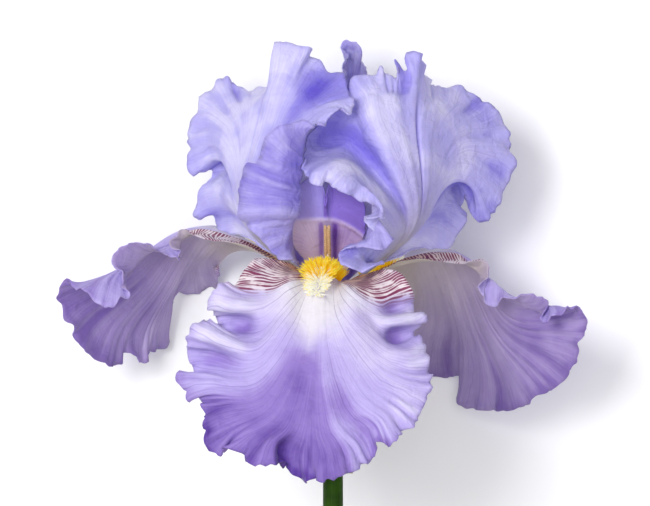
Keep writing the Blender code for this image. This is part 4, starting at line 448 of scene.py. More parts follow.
def eased(sheet: Array, share: Array, passes: int) -> Array:
    """Moves the inner points of a grid towards the mean of their neighbours, a few times over.

    Args:
        sheet: Points by column and row.
        share: How far each inner point goes in each pass, 0 to 1.
        passes: How many times.

    Returns:
        The eased points.
    """
    sheet = sheet.copy()
    for _ in range(passes):
        sheet[1:-1, 1:-1] += (beside(sheet) / 4 - sheet[1:-1, 1:-1]) * share[1:-1, 1:-1, None]
    return sheet


def upper_normals(sheet: Array) -> Array:
    """The directions out of a petal's upper side, the one that a standard turns to the flower's middle.

    Args:
        sheet: Points by column and row.

    Returns:
        Unit directions by column and row, smoothed three times.
    """
    normals = unit(np.cross(np.gradient(sheet, axis=1), np.gradient(sheet, axis=0)), 1e-12)
    for _ in range(3):
        normals = np.pad(normals, ((1, 1), (1, 1), (0, 0)), mode="edge")
        normals = unit((beside(normals) + 2 * normals[1:-1, 1:-1]) / 6, 1e-12)
    return normals


class Side(Enum):
    """Where a repeated piece stands, by its turn about the stem in degrees."""

    FRONT = 0.0
    LEFT = -120.0
    RIGHT = 120.0

    @property
    def word(self) -> str:
        """The side's word in a node's name."""
        return self.name.lower()

    @property
    def turn(self) -> Array:
        """The matrix of its turn about the stem."""
        return np.array(Matrix.Rotation(math.radians(self.value), 3, "Y"))


class Bloom:
    """The flower's own frame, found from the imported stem."""

    def __init__(self) -> None:
        """Finds the throat, over the middle of the stem's widest ring at its top."""
        low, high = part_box("stem")
        self.throat = Vector(((low.x + high.x) / 2, high.y, (low.z + high.z) / 2))

    def place(self, points_mm: Array) -> Array:
        """Turns places of the flower's frame, in millimetres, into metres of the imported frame."""
        return np.asarray(points_mm) * MM + np.array(self.throat)


def choose(*pieces: Object) -> None:
    """Leaves edit mode and selects these pieces alone, the first of them as the active one."""
    if bpy.context.object is not None and bpy.context.object.mode != "OBJECT":
        bpy.ops.object.mode_set(mode="OBJECT")
    bpy.ops.object.select_all(action="DESELECT")
    for piece in pieces:
        piece.select_set(True)
    if pieces:
        bpy.context.view_layer.objects.active = pieces[0]


def triples(items: bpy.types.bpy_prop_collection, name: str) -> Array:
    """Reads three numbers of each item, one row for each."""
    flat = np.empty(len(items) * 3)
    items.foreach_get(name, flat)
    return flat.reshape(-1, 3)


def mark(mesh: Mesh, name: str, values: Array) -> None:
    """Writes one number, or a row of three, for each corner of a mesh."""
    kind, word = ("FLOAT", "value") if values.ndim == 1 else ("FLOAT_VECTOR", "vector")
    mesh.attributes.new(name, kind, "POINT").data.foreach_set(word, values.astype(np.float32).ravel())


def grid_piece(name: str, sheet: Array, bloom: Bloom) -> Object:
    """Adds a grid and lays its corners on a sheet of places.

    Args:
        name: The piece's name.
        sheet: Places in millimetres, by column and row.
        bloom: The flower's frame.

    Returns:
        The piece, with a UV map of the shares of its columns and rows.
    """
    columns, rows = sheet.shape[0] - 1, sheet.shape[1] - 1
    choose()
    bpy.ops.mesh.primitive_grid_add(x_subdivisions=columns, y_subdivisions=rows, size=2.0)
    piece = bpy.context.object
    mesh = piece.data
    piece.name = mesh.name = name
    flat = triples(mesh.vertices, "co")
    column, row = np.rint((flat[:, :2] + 1) / 2 * (columns, rows)).astype(int).T
    mesh.vertices.foreach_set("co", bloom.place(sheet[column, row]).ravel())
    mesh.uv_layers[0].name = "shares"
    mark(mesh, "grid_place", np.stack([column, row, 0 * row], axis=1))
    mesh.update()
    return piece


def thicken(piece: Object, thickness_mm: float) -> None:
    """Gives a sheet its thickness, half to either side."""
    wall = piece.modifiers.new("thickness", "SOLIDIFY")
    wall.thickness = thickness_mm * MM
    wall.offset = 0.0
    choose(piece)
    bpy.ops.object.modifier_apply(modifier=wall.name)


def close_round(piece: Object) -> None:
    """Merges the seam and the poles of a grid that was laid round a spine, and turns its faces outwards."""
    choose(piece)
    bpy.ops.object.mode_set(mode="EDIT")
    bpy.ops.mesh.select_all(action="SELECT")
    bpy.ops.mesh.remove_doubles(threshold=0.000004)
    bpy.ops.mesh.normals_make_consistent(inside=False)
    bpy.ops.object.mode_set(mode="OBJECT")


def settle(piece: Object, node: str, finish: Material) -> None:
    """Shades a piece smooth, gives it its one material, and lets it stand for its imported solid.

    Args:
        piece: The piece.
        node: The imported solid's name.
        finish: The material.
    """
    piece.data.materials.clear()
    piece.data.materials.append(finish)
    piece.data.shade_smooth()
    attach(piece, BODY)
    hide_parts(node)
    log.info("%s: %d faces", piece.name, len(piece.data.polygons))


@dataclass(frozen=True)
class Ruffle:
    """Waves of a petal's margin, finer than its rings of points hold.

    Attributes:
        length_mm: The length of one wave along the margin.
        height_mm: How far it swings to either side.
        reach_mm: How far in from the margin it fades away.
        notch_mm: How far it makes the margin stand out and back.
    """

    length_mm: float
    height_mm: float
    reach_mm: float
    notch_mm: float = 0.0


@dataclass(frozen=True)
class Fold:
    """A pocket or a ridge in a petal, with painted shade darkening the colour in a pocket and painted
    highlight paling it on a ridge.

    Attributes:
        number: The margin number that it runs to.
        share: The share of the way from claw to margin where it is strongest.
        half_number: Its half width in margin numbers.
        half_share: Its half length in shares of the way.
        lift_mm: How far it stands out of the upper side, below 0 where it is sunk.
        depth_and_painted_shade: How much painted shade darkens the colour, below 0 where painted highlight
            pales it instead.
    """

    number: float
    share: float
    half_number: float
    half_share: float
    lift_mm: float
    depth_and_painted_shade: float

    def strength(self, numbers: Array, shares: Array) -> Array:
        """How strongly it is felt, 0 to 1, at each column's number and row's share."""
        across = (numbers[:, None] - self.number) / self.half_number
        along = (shares[None, :] - self.share) / self.half_share
        return np.exp(-across**2 - along**2)


@dataclass(frozen=True)
class Pleats:
    """A run of fine pleats that fan out to the margin.

    Attributes:
        first: The margin number where they begin.
        last: The margin number where they end.
        spacing: Margin numbers from one pleat to the next.
        start_share: The share of the way where they rise.
        height_mm: How far they swing to either side.
        depth_and_painted_shade: How much painted shade darkens the colour in the upper side's hollows, and
            painted highlight pales it on the crests.
    """

    first: float
    last: float
    spacing: float
    start_share: float
    height_mm: float
    depth_and_painted_shade: float = 0.25

    def wave(self, numbers: Array, shares: Array, rng: random.Random) -> Array:
        """The pleats' swing, -1 to 1, at each column's number and row's share."""
        n = numbers[:, None]
        # Bends over 3 and 5 pleats, and pleats of uneven height, keep the run from looking machined.
        bend = 1.5 * np.sin(n * math.tau / (self.spacing * 5.3) + rng.uniform(0, math.tau))
        bend = bend + 1.1 * np.sin(n * math.tau / (self.spacing * 2.9) + 4 * shares[None, :])
        uneven = 0.6 + 0.4 * np.sin(n * math.tau / (self.spacing * 3.7) + rng.uniform(0, math.tau))
        inside = soft_step(n, self.first - 0.5, self.first + 0.7)
        inside = inside * soft_step(n, self.last + 0.5, self.last - 0.7)
        rise = soft_step(shares[None, :], self.start_share, 0.5 + 0.5 * self.start_share)
        return np.sin(n * math.tau / self.spacing + bend) * uneven * inside * rise


RUFFLES = (Ruffle(10.5, 1.2, 8, 0.5), Ruffle(5.2, 0.6, 4, 0.3), Ruffle(2.8, 0.2, 2, 0.15))


@dataclass
class Petal:
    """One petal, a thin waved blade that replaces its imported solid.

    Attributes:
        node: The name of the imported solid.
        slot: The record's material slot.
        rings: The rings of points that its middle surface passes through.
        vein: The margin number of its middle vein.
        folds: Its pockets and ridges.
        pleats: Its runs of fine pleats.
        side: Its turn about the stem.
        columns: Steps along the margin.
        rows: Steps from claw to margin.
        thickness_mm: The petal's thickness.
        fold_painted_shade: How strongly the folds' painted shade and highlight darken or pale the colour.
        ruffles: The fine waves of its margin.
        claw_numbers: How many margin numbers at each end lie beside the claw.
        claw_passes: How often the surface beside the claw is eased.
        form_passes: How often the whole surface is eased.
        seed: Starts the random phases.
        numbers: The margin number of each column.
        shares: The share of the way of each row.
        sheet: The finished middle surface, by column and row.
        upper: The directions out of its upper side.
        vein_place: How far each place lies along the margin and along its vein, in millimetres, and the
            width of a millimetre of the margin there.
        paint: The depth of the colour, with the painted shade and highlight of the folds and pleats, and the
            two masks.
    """

    node: str
    slot: str
    rings: Rings
    vein: float
    folds: tuple[Fold, ...] = ()
    pleats: tuple[Pleats, ...] = ()
    side: Side = Side.FRONT
    columns: int = 420
    rows: int = 84
    thickness_mm: float = 0.4
    fold_painted_shade: float = 0.5
    ruffles: tuple[Ruffle, ...] = RUFFLES
    claw_numbers: float = 4
    claw_passes: int = 400
    form_passes: int = 5
    seed: int = 1

    def __post_init__(self) -> None:
        """Lays out the middle surface with its waves, and what the finish needs to know of each place."""
        surface = Surface(self.rings)
        self.numbers = surface.even_numbers(self.columns)
        self.shares = surface.even_shares(self.rows)
        sheet = surface.sheet(self.numbers, self.shares)
        from_claw = np.minimum(self.numbers, surface.last - self.numbers)
        at_claw = np.clip(1.4 - from_claw / self.claw_numbers, 0, 1)[:, None] * np.ones(len(self.shares))
        sheet = eased(sheet, 0.9 * at_claw, self.claw_passes)
        sheet = eased(sheet, np.full(sheet.shape[:2], 0.8), self.form_passes)
        depth_and_painted_shade = self.base_depth(sheet)
        moved, drawn = self.waves(sheet)
        rng = random.Random(self.seed)
        # The pleats and folds paint shade into the colour's depth in their hollows and pockets, and highlight
        # on their crests.
        for run in self.pleats:
            wave = run.wave(self.numbers, self.shares, rng)
            moved += run.height_mm * wave
            depth_and_painted_shade -= run.depth_and_painted_shade * wave
        for fold in self.folds:
            strength = fold.strength(self.numbers, self.shares)
            moved += fold.lift_mm * strength
            depth_and_painted_shade += fold.depth_and_painted_shade * self.fold_painted_shade * strength
        outward = unit(np.gradient(sheet, axis=1), 1e-9)
        sheet = sheet + upper_normals(sheet) * moved[..., None] + outward * drawn[..., None]
        self.measure(sheet)
        self.paint = np.stack([np.clip(depth_and_painted_shade, 0, 1), *self.masks(sheet)], axis=2)
        self.sheet = sheet @ self.side.turn.T
        # The surface that the flower lies on presses its lowest margins flat.
        self.sheet[..., 2] = np.maximum(self.sheet[..., 2], LOWEST_MM)
        self.upper = upper_normals(self.sheet)

    def aside(self) -> Array:
        """How far each column lies from the middle vein, 0 there and 1 at the claw's two sides."""
        last = self.numbers[-1]
        return np.where(self.numbers < self.vein, (self.vein - self.numbers) / self.vein,
                        (self.numbers - self.vein) / (last - self.vein))

    def calm_margin(self) -> Array:
        """How much of the ruffles each column of the margin has, none beside the claw."""
        return np.clip(np.minimum(self.numbers, self.numbers[-1] - self.numbers) / 2.0, 0, 1)

    def base_depth(self, sheet: Array) -> Array:
        """How deep the colour is before the folds' and pleats' painted shade, 0 to 1, by column and row."""
        return np.full(sheet.shape[:2], 0.3)

    def masks(self, sheet: Array) -> tuple[Array, Array]:
        """Two more masks for the finish, each 0 to 1 by column and row."""
        return np.zeros(sheet.shape[:2]), np.zeros(sheet.shape[:2])

    def measure(self, sheet: Array) -> None:
        """Measures where each place lies along the margin and along its vein.

        Args:
            sheet: The middle surface, by column and row.
        """
        margin = walked(sheet[:, -1])
        margin -= np.interp(self.vein, self.numbers, margin)
        outward = np.linalg.norm(np.diff(sheet, axis=1), axis=2)
        outward = np.concatenate([np.zeros((sheet.shape[0], 1)), np.cumsum(outward, axis=1)], axis=1)
        wide = np.linalg.norm(np.gradient(sheet, axis=0), axis=2)
        share = wide / (np.gradient(margin)[:, None] + 1e-9)
        margin = np.repeat(margin[:, None], sheet.shape[1], axis=1)
        self.vein_place = np.stack([margin, outward, share], axis=2)

    def waves(self, sheet: Array) -> tuple[Array, Array]:
        """Works out how far the fine ruffles move each point.

        Args:
            sheet: The middle surface, by column and row.

        Returns:
            Millimetres towards the upper side, and millimetres outward, by column and row.
        """
        rng = random.Random(self.seed)
        along = walked(sheet[:, -1])[:, None]
        row_steps = np.linalg.norm(np.diff(sheet, axis=1), axis=2)
        inward = np.concatenate([np.cumsum(row_steps[:, ::-1], axis=1)[:, ::-1],
                                 np.zeros((sheet.shape[0], 1))], axis=1)
        calm = self.calm_margin()[:, None]
        moved, drawn = np.zeros(sheet.shape[:2]), np.zeros(sheet.shape[:2])
        # Slow drifts and swells keep the waves of one ruffle from being alike.
        for ruffle in self.ruffles:
            drift = sum(rng.uniform(0.5, 1.0) * np.sin(along * math.tau / (ruffle.length_mm * stretch)
                                                       + rng.uniform(0, math.tau))
                        for stretch in (2.3, 3.7, 6.1))
            swell = 0.6 + 0.4 * np.sin(along * math.tau / (ruffle.length_mm * 4.3) + rng.uniform(0, math.tau))
            fade = np.clip(1 - inward / ruffle.reach_mm, 0, 1) ** 2
            turn = along * math.tau / ruffle.length_mm + 1.3 * drift
            moved += ruffle.height_mm * swell * fade * calm * np.sin(turn)
            drawn += ruffle.notch_mm * swell * fade * calm * np.sin(turn * 0.77 + 1.0)
        return moved, drawn

    def build(self, bloom: Bloom, finish: Material) -> None:
        """Models the petal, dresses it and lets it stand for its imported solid.

        Args:
            bloom: The flower's frame.
            finish: The petal's material.
        """
        piece = grid_piece(self.node + "_fine", self.sheet, bloom)
        mesh = piece.data
        thicken(piece, self.thickness_mm)
        column, row = np.rint(triples(mesh.attributes["grid_place"].data, "vector")[:, :2]).astype(int).T
        off = triples(mesh.vertices, "co") - bloom.place(self.sheet[column, row])
        mark(mesh, "upper_side", np.einsum("ij,ij->i", off, self.upper[column, row]) > 0)
        mark(mesh, "vein_place", self.vein_place[column, row])
        mark(mesh, "paint", self.paint[column, row])
        mesh.attributes.remove(mesh.attributes["grid_place"])
        settle(piece, self.node, finish)


@dataclass
class Fall(Petal):
    """A drooping petal with a white blaze round its beard and netted hafts at its sides.

    Attributes:
        hafts: The margin numbers where the hafts end, on either side.
        flare: How many margin numbers wider the hafts' nets are beside the claw.
        flare_shares: Where the nets have narrowed again, and where they begin to.
        barred: Whether the nets run straight across the hafts instead of along the veins.
        depth: How deep the colour is at the sides.
        violet: How much deeper it is down the middle.
        blaze_mm: How far out from the claw the white blaze begins to fade, and where it has gone.
        violet_shares: Where the violet of the middle begins, and where it is full.
    """

    hafts: tuple[float, float] = (7.5, 54.0)
    flare: float = 0.0
    flare_shares: tuple[float, float] = (0.6, 0.4)
    barred: bool = False
    depth: float = 0.16
    violet: float = 0.66
    blaze_mm: tuple[float, float] = (42.0, 55.0)
    violet_shares: tuple[float, float] = (0.24, 0.42)

    def calm_margin(self) -> Array:
        """How much of the ruffles each column of the margin has. The hafts' margins are nearly plain."""
        left, right = self.hafts
        inside = soft_step(self.numbers, left - 1.5, left + 1)
        inside = inside * soft_step(self.numbers, right + 1.5, right - 1)
        return 0.15 + 0.85 * inside

    def base_depth(self, sheet: Array) -> Array:
        """Violet down the middle and pale at the sides."""
        aside = self.aside()[:, None]
        middle = np.exp(-(aside / 0.32) ** 2) * soft_step(self.shares, *self.violet_shares)[None, :]
        return self.depth + self.violet * middle + 0.06 * soft_step(self.shares, 0.9, 1)[None, :]

    def netted(self) -> Array:
        """How strongly the hafts' nets show, 0 to 1, by column and row."""
        numbers, shares = self.numbers[:, None], self.shares[None, :]
        wider = self.flare * soft_step(shares, *self.flare_shares)
        left, right = self.hafts[0] + wider, self.hafts[1] - wider
        haft = np.maximum(soft_step(numbers, left + 1.4, left - 1),
                          soft_step(numbers, right - 1.4, right + 1))
        return haft * soft_step(shares, 0.02, 0.12)

    def measure(self, sheet: Array) -> None:
        """Measures as for any petal, and turns barred nets across the hafts."""
        super().measure(sheet)
        turned = self.netted() > 0.25 if self.barred else np.zeros(sheet.shape[:2], bool)
        out_mm = self.vein_place[..., 1]
        self.vein_place[..., 0] = np.where(turned, out_mm, self.vein_place[..., 0])
        self.vein_place[..., 2] = np.where(turned, 1.0, self.vein_place[..., 2])

    def masks(self, sheet: Array) -> tuple[Array, Array]:
        """The white blaze and the netted hafts."""
        start, end = self.blaze_mm
        blaze = soft_step(self.vein_place[..., 1] + 18.0 * self.aside()[:, None], end, start)
        return blaze, self.netted()


@dataclass
class Standard(Petal):
    """An upright petal, olive grey at its claw."""

    depth: float = 0.3

    def base_depth(self, sheet: Array) -> Array:
        """An even depth, a little paler half way out."""
        return np.full(sheet.shape[:2], self.depth) - 0.08 * np.sin(self.shares * math.pi)[None, :]

    def masks(self, sheet: Array) -> tuple[Array, Array]:
        """The pale blade's greenish claw, and nothing more."""
        claw = soft_step(self.shares, 0.46, 0.1)[None, :] * np.ones(sheet.shape[:2])
        return claw, np.zeros(sheet.shape[:2])


@dataclass
class StyleArm(Petal):
    """A style arm over a beard, with two violet crests past the lip of its stigma.

    Attributes:
        lip_y_mm: How far up the flower the middle of the lip lies.
        lip_x_mm: How far it lies beside the throat.
        lip_height_mm: How far the lip stands out.
        anther_x_mm: Where the anther lies behind the arm.
        shade_bands_mm: How far the bands of painted shade lie beside the anther, and half their width.
        split_x_mm: Where the crests part, along a line of painted shade.
    """

    lip_y_mm: float = 21.3
    lip_x_mm: float = -2
    lip_height_mm: float = 0.5
    anther_x_mm: float = -1.2
    shade_bands_mm: tuple[float, float] = (2.1, 1)
    split_x_mm: float = -1.9

    def over_lip(self, sheet: Array) -> Array:
        """How far each place lies above the lip, in millimetres."""
        off = sheet[..., 0] - self.lip_x_mm
        return sheet[..., 1] - self.lip_y_mm + np.where(off > 0, 0.038, 0.0055) * off**2

    def waves(self, sheet: Array) -> tuple[Array, Array]:
        """The margin's ruffles, and the stigma's lip, a low ridge across the arm's outer face."""
        moved, drawn = super().waves(sheet)
        lip = np.exp(-(self.over_lip(sheet) / 0.8) ** 2)
        return moved - self.lip_height_mm * lip * soft_step(self.shares, 0.45, 0.6)[None, :], drawn

    def base_depth(self, sheet: Array) -> Array:
        """Painted shade in two bands beside the anther and in a line where the crests part; deeper on the
        crests to the right.
        """
        x, over = sheet[..., 0], self.over_lip(sheet)
        away, half = self.shade_bands_mm
        # Two bands of painted shade lie beside the anther, and a line of it where the crests part.
        bands = np.exp(-((np.abs(x - self.anther_x_mm) - away) / half) ** 2) * soft_step(over, 0.5, -1.5)
        split = np.exp(-((x - self.split_x_mm) / 0.35) ** 2) * soft_step(over, 0, 1.5)
        return 0.15 + 0.5 * bands + 0.3 * soft_step(x, -3, 0.5) + 0.45 * split

    def masks(self, sheet: Array) -> tuple[Array, Array]:
        """The crests, and the pale rim of the lip."""
        over = self.over_lip(sheet)
        return soft_step(over, -0.3, 0.9), np.exp(-((over + 0.2) / 0.5) ** 2)


@dataclass(frozen=True)
class Finish:
    """How a surface looks. Each kind of finish adds its own nodes.

    Attributes:
        name: The material's name.
    """

    name: str

    def shader(self, add: Adder) -> Node:
        """Adds the finish's nodes.

        Args:
            add: Adds a node.

        Returns:
            The surface's shader.
        """
        raise NotImplementedError

    def make(self) -> Material:
        """Makes and returns the material."""
        material = bpy.data.materials.new(self.name)
        material.use_nodes = True
        material.node_tree.nodes.clear()
        add = partial(add_node, material.node_tree)
        add("OutputMaterial", {"Surface": self.shader(add)})
        return material


@dataclass(frozen=True)
class Veins:
    """The veins that fan out from a petal's claw, and fork on the way to its margin.

    Attributes:
        first_gap_mm: Between main veins, measured at the margin.
        forks: How many times the gap halves.
        least_gap_mm: The narrowest gap between veins that shows, where they lie.
        sharpness: How narrow a vein is in its gap.
        wander_mm: How far veins stray at the margin.
        last_strength: How strongly the finest veins show beside the main ones.
    """

    first_gap_mm: float = 18
    forks: int = 4
    least_gap_mm: float = 1.7
    sharpness: float = 60
    wander_mm: float = 1.6
    last_strength: float = 0.6

    def draw(self, add: Adder, way: Node) -> Node:
        """Draws the veins.

        Args:
            add: Adds a node.
            way: The node that splits the place along the margin and along the vein in millimetres, and the
                width of a millimetre of the margin there.

        Returns:
            The node that says how strongly a vein shows, 0 to 1.
        """
        # The veins stray from side to side over about 12 mm.
        noise_at = add("TexNoise", {"Vector": add("TexCoord").outputs["Object"], "Scale": 80, "Detail": 2})
        stray = add("MapRange", (noise_at, 0.3, 0.7, -self.wander_mm, self.wander_mm))
        along = add("Math", (way.outputs[0], stray), operation="ADD")
        net = None
        for fork in range(self.forks):
            gap = self.first_gap_mm / 2**fork
            strength = 1.0 if fork < 2 else self.last_strength
            phase = add("Math", (along, math.pi / gap), **TIMES)
            swing = add("Math", (phase,), operation="COSINE")
            size = add("Math", (swing,), operation="ABSOLUTE")
            local = add("Math", (way.outputs[2], gap), **TIMES)
            # A vein keeps its own width where its gap is wide.
            narrow = add("Math", (local, local), **TIMES)
            power = add("Math", (narrow, self.sharpness / 9), **TIMES)
            line = add("Math", (size, power), operation="POWER")
            shown = add("MapRange", (local, self.least_gap_mm, 2 * self.least_gap_mm, 0, strength), **SMOOTH)
            line = add("Math", (line, shown), **TIMES)
            net = line if net is None else add("Math", (net, line), operation="MAXIMUM")
        return net


@dataclass(frozen=True)
class Known:
    """What a petal's nodes know of each place.

    Attributes:
        paint: The colour's depth, with the folds' painted shade and highlight, and the two masks.
        upper: 1 on the upper side and 0 on the under side.
        net: The main veins.
        way: The place along the margin and along the vein.
    """

    paint: Node
    upper: NodeSocket
    net: Node
    way: Node


@dataclass(frozen=True)
class PetalTissue(Finish):
    """Living petal tissue, thin and moist. Painted shade darkens it in the hollows of its folds, and painted
    highlight pales their ridges, which gives it depth.

    Attributes:
        upper_stops: The upper side's colours, from pale to deep.
        under_stops: The under side's.
        glow_stops: Those of the light that comes through.
        through: How much light comes through.
        veins: The main veins.
        fine_veins: The fine veins between them.
        vein_upper: The veins' colour on the upper side.
        vein_under: The veins' colour on the under side.
        vein_strength: How strongly the main veins are coloured.
        fine_strength: How strongly the fine ones are.
        mottle: How much the colour's depth varies in soft patches.
        crinkle_mm: How high the soft crinkles stand.
    """

    upper_stops: Stops
    under_stops: Stops
    glow_stops: Stops
    through: float = 0.34
    veins: Veins = Veins()
    fine_veins: Veins = Veins(4, 4, 0.55, 30, last_strength=0.8)
    vein_upper: str = "#6A52B4"
    vein_under: str = "#8577C9"
    vein_strength: float = 0.24
    fine_strength: float = 0.1
    mottle: float = 0.1
    crinkle_mm: float = 1.6

    def markings(self, add: Adder, colour: Node, at: Known) -> Node:
        """Adds what only some petals have, and returns the node with the colour."""
        return colour

    def shader(self, add: Adder) -> Node:
        """Adds the nodes of the tissue.

        Args:
            add: Adds a node.

        Returns:
            The surface's shader.
        """
        paint = add("SeparateXYZ", (add("Attribute", attribute_name="paint").outputs[1],))
        spot = add("Attribute", attribute_name="vein_place").outputs[1]
        way = add("SeparateXYZ", (spot,))
        upper = add("Attribute", attribute_name="upper_side").outputs[2]
        seat = add("TexCoord").outputs["Object"]
        # Streaks between the veins are 0.8 mm wide at the margin and 14 mm long, which gives a silky look.
        narrow = add("Mapping", {"Vector": spot, "Scale": (1.2, 0.07, 0)})
        streaks = add("TexNoise", {"Vector": narrow, "Scale": 1, "Detail": 3})
        # Soft patches lie 14 mm apart.
        clouds = add("TexNoise", {"Vector": seat, "Scale": 70, "Detail": 3})
        # Soft crinkles lie across the streaks, 4 mm from one to the next.
        crinkles = add("TexNoise", {"Vector": seat, "Scale": 240, "Detail": 3, "Distortion": 0.6})
        streak = add("MapRange", (streaks, 0.3, 0.7, -0.05, 0.05))
        cloud = add("MapRange", (clouds, 0.3, 0.7, -self.mottle, self.mottle))
        # The depth holds the painted shade and highlight of the folds and pleats.
        depth = add("Math", (paint.outputs[0], streak), operation="ADD")
        depth = add("Math", (depth, cloud), operation="ADD", use_clamp=True)
        above = add("ValToRGB", (depth,), self.upper_stops)
        below = add("ValToRGB", (depth,), self.under_stops)
        glow = add("ValToRGB", (depth,), self.glow_stops)
        colour = add("Mix", {0: upper, 6: below, 7: above}, **COLOURS)
        vein = add("Mix", {0: upper, 6: self.vein_under, 7: self.vein_upper}, **COLOURS)
        net = self.veins.draw(add, way)
        fine = self.fine_veins.draw(add, way)
        for lines, strength in ((fine, self.fine_strength), (net, self.vein_strength)):
            tint = add("Math", (lines, strength), **TIMES)
            colour = add("Mix", {0: tint, 6: colour, 7: vein}, **COLOURS)
        colour = self.markings(add, colour, Known(paint, upper, net, way))
        glow = add("Mix", {0: 0.5, 6: glow, 7: colour}, **COLOURS)
        relief = add("Math", (net, -0.6, streaks), operation="MULTIPLY_ADD")
        relief = add("Math", (fine, -0.2, relief), operation="MULTIPLY_ADD")
        bump = add("Bump", {"Strength": 0.4, "Distance": 0.15 * MM, "Height": relief})
        bump = add("Bump", {
            "Strength": 0.4, "Distance": self.crinkle_mm * MM, "Height": crinkles, "Normal": bump})
        # The skin's small domed cells scatter light, so its gloss is low and its edges have a soft sheen.
        skin = add("BsdfPrincipled", {
            "Base Color": colour, "Roughness": 0.52, "Sheen Weight": 0.2, "Sheen Roughness": 0.35,
            "Specular IOR Level": 0.3, "Normal": bump})
        behind = add("BsdfTranslucent", {"Color": glow, "Normal": bump})
        return add("MixShader", (self.through, skin, behind))


@dataclass(frozen=True)
class FallTissue(PetalTissue):
    """A fall's tissue, with a white blaze, grey veins in it, and maroon nets on its hafts.

    Attributes:
        white: The blaze.
        white_vein: The main veins in the blaze.
        net_veins: The nets on the hafts.
        cream: The hafts' colour near the claw and further out.
        maroon: The nets' colour near the claw and further out.
        claw_under: The under side beside the claw.
    """

    white: str = "#F8F5F8"
    white_vein: str = "#7E6C8C"
    net_veins: Veins = Veins(9, 4, 0.55, 8, 1.4, 0.9)
    cream: tuple[str, str] = ("#E9AE5C", "#FBF0F0")
    maroon: tuple[str, str] = ("#5A2214", "#8A3252")
    claw_under: str = "#D2C8B4"

    def markings(self, add: Adder, colour: Node, at: Known) -> Node:
        """Adds the blaze and the hafts on the upper side, and the greenish claw on the under side.

        Args:
            add: Adds a node.
            colour: The tissue's colour so far.
            at: What is known of each place.

        Returns:
            The node with the colour.
        """
        out_mm = at.way.outputs[1]
        line = add("Math", (at.net, 0.7), **TIMES)
        milk = add("Mix", {0: line, 6: self.white, 7: self.white_vein}, **COLOURS)
        blaze = add("Math", (at.paint.outputs[1], at.upper), **TIMES)
        colour = add("Mix", {0: blaze, 6: colour, 7: milk}, **COLOURS)
        near = add("MapRange", (out_mm, 82, 22), **SMOOTH)
        below = add("Math", (1, at.upper), operation="SUBTRACT")
        near = add("Math", (near, below), **TIMES)
        colour = add("Mix", {0: near, 6: colour, 7: self.claw_under}, **COLOURS)
        # The net is thickest at the margin, and is broken into bars about 4 mm long.
        flecks = add("TexNoise", {"Vector": add("TexCoord").outputs["Object"], "Scale": 260, "Detail": 2})
        broken = add("MapRange", (flecks, 0.35, 0.6, 0.48, 1.3))
        bars = add("Math", (self.net_veins.draw(add, at.way), broken), **TIMES)
        far = add("MapRange", (out_mm, 8, 26, 0.85, 1.1), **SMOOTH)
        bars = add("Math", (bars, far), **TIMES)
        bars = add("MapRange", (bars, 0.35, 0.85), **SMOOTH)
        claw = add("MapRange", (out_mm, 13, 36), **SMOOTH)
        cream = add("Mix", {0: claw, 6: self.cream[0], 7: self.cream[1]}, **COLOURS)
        maroon = add("Mix", {0: claw, 6: self.maroon[0], 7: self.maroon[1]}, **COLOURS)
        # The lines reach a little past the cream that they lie on.
        haft = add("Math", (at.paint.outputs[2], at.upper), **TIMES)
        ground = add("MapRange", (haft, 0.2, 1), **SMOOTH)
        colour = add("Mix", {0: ground, 6: colour, 7: cream}, **COLOURS)
        drawn = add("MapRange", (haft, 0, 0.7), **SMOOTH)
        drawn = add("Math", (drawn, bars), **TIMES)
        return add("Mix", {0: drawn, 6: colour, 7: maroon}, **COLOURS)


@dataclass(frozen=True)
class StandardTissue(PetalTissue):
    """A standard's tissue, with an olive-grey claw."""

    claw: str = "#A3968C"

    def markings(self, add: Adder, colour: Node, at: Known) -> Node:
        """Adds the claw's colour, where the first mask says so, and returns the node with it."""
        return add("Mix", {0: at.paint.outputs[1], 6: colour, 7: self.claw}, **COLOURS)


@dataclass(frozen=True)
class StyleTissue(PetalTissue):
    """A style arm's tissue: pinkish below the lip of its stigma, violet on its crests.

    Attributes:
        crest_stops: The crests' colours, from pale to deep.
        lip: The rim of the lip.
    """

    crest_stops: Stops = ((0.1, "#A496E0"), (0.5, "#866CCC"), (1, "#5638A4"))
    lip: str = "#C4B2E0"

    def markings(self, add: Adder, colour: Node, at: Known) -> Node:
        """Adds the crests and the lip by the two masks.

        Args:
            add: Adds a node.
            colour: The tissue's colour so far.
            at: What is known of each place.

        Returns:
            The node with the colour.
        """
        crest = add("ValToRGB", (at.paint.outputs[0],), self.crest_stops)
        colour = add("Mix", {0: at.paint.outputs[1], 6: colour, 7: crest}, **COLOURS)
        rim = add("Math", (at.paint.outputs[2], 0.3), **TIMES)
        return add("Mix", {0: rim, 6: colour, 7: self.lip}, **COLOURS)


FALL = FallTissue(
    "iris fall petal tissue",
    upper_stops=((0, "#EDE8FD"), (0.3, "#CABCF0"), (0.6, "#A086D0"), (1, "#6A48A8")),
    under_stops=((0, "#DAD0E4"), (0.3, "#B4A1CA"), (0.6, "#8B72B0"), (1, "#684A98")),
    glow_stops=((0, "#CFC4F8"), (0.5, "#9A82EA"), (1, "#6A48C8")),
    vein_upper="#5E3F9E", vein_under="#7C68B0")
STANDARD = StandardTissue(
    "iris standard petal tissue",
    upper_stops=((0, "#D3CEF0"), (0.3, "#B7AEE4"), (0.6, "#968AD8"), (1, "#6C59D2")),
    under_stops=((0, "#E0DCFA"), (0.3, "#C1BAF1"), (0.6, "#9A90E4"), (1, "#6C5CD2")),
    glow_stops=((0, "#CCC6FC"), (0.5, "#9E92F2"), (1, "#6A57E4")),
    through=0.28, vein_strength=0.12, fine_strength=0.07, mottle=0.22, crinkle_mm=2.8)
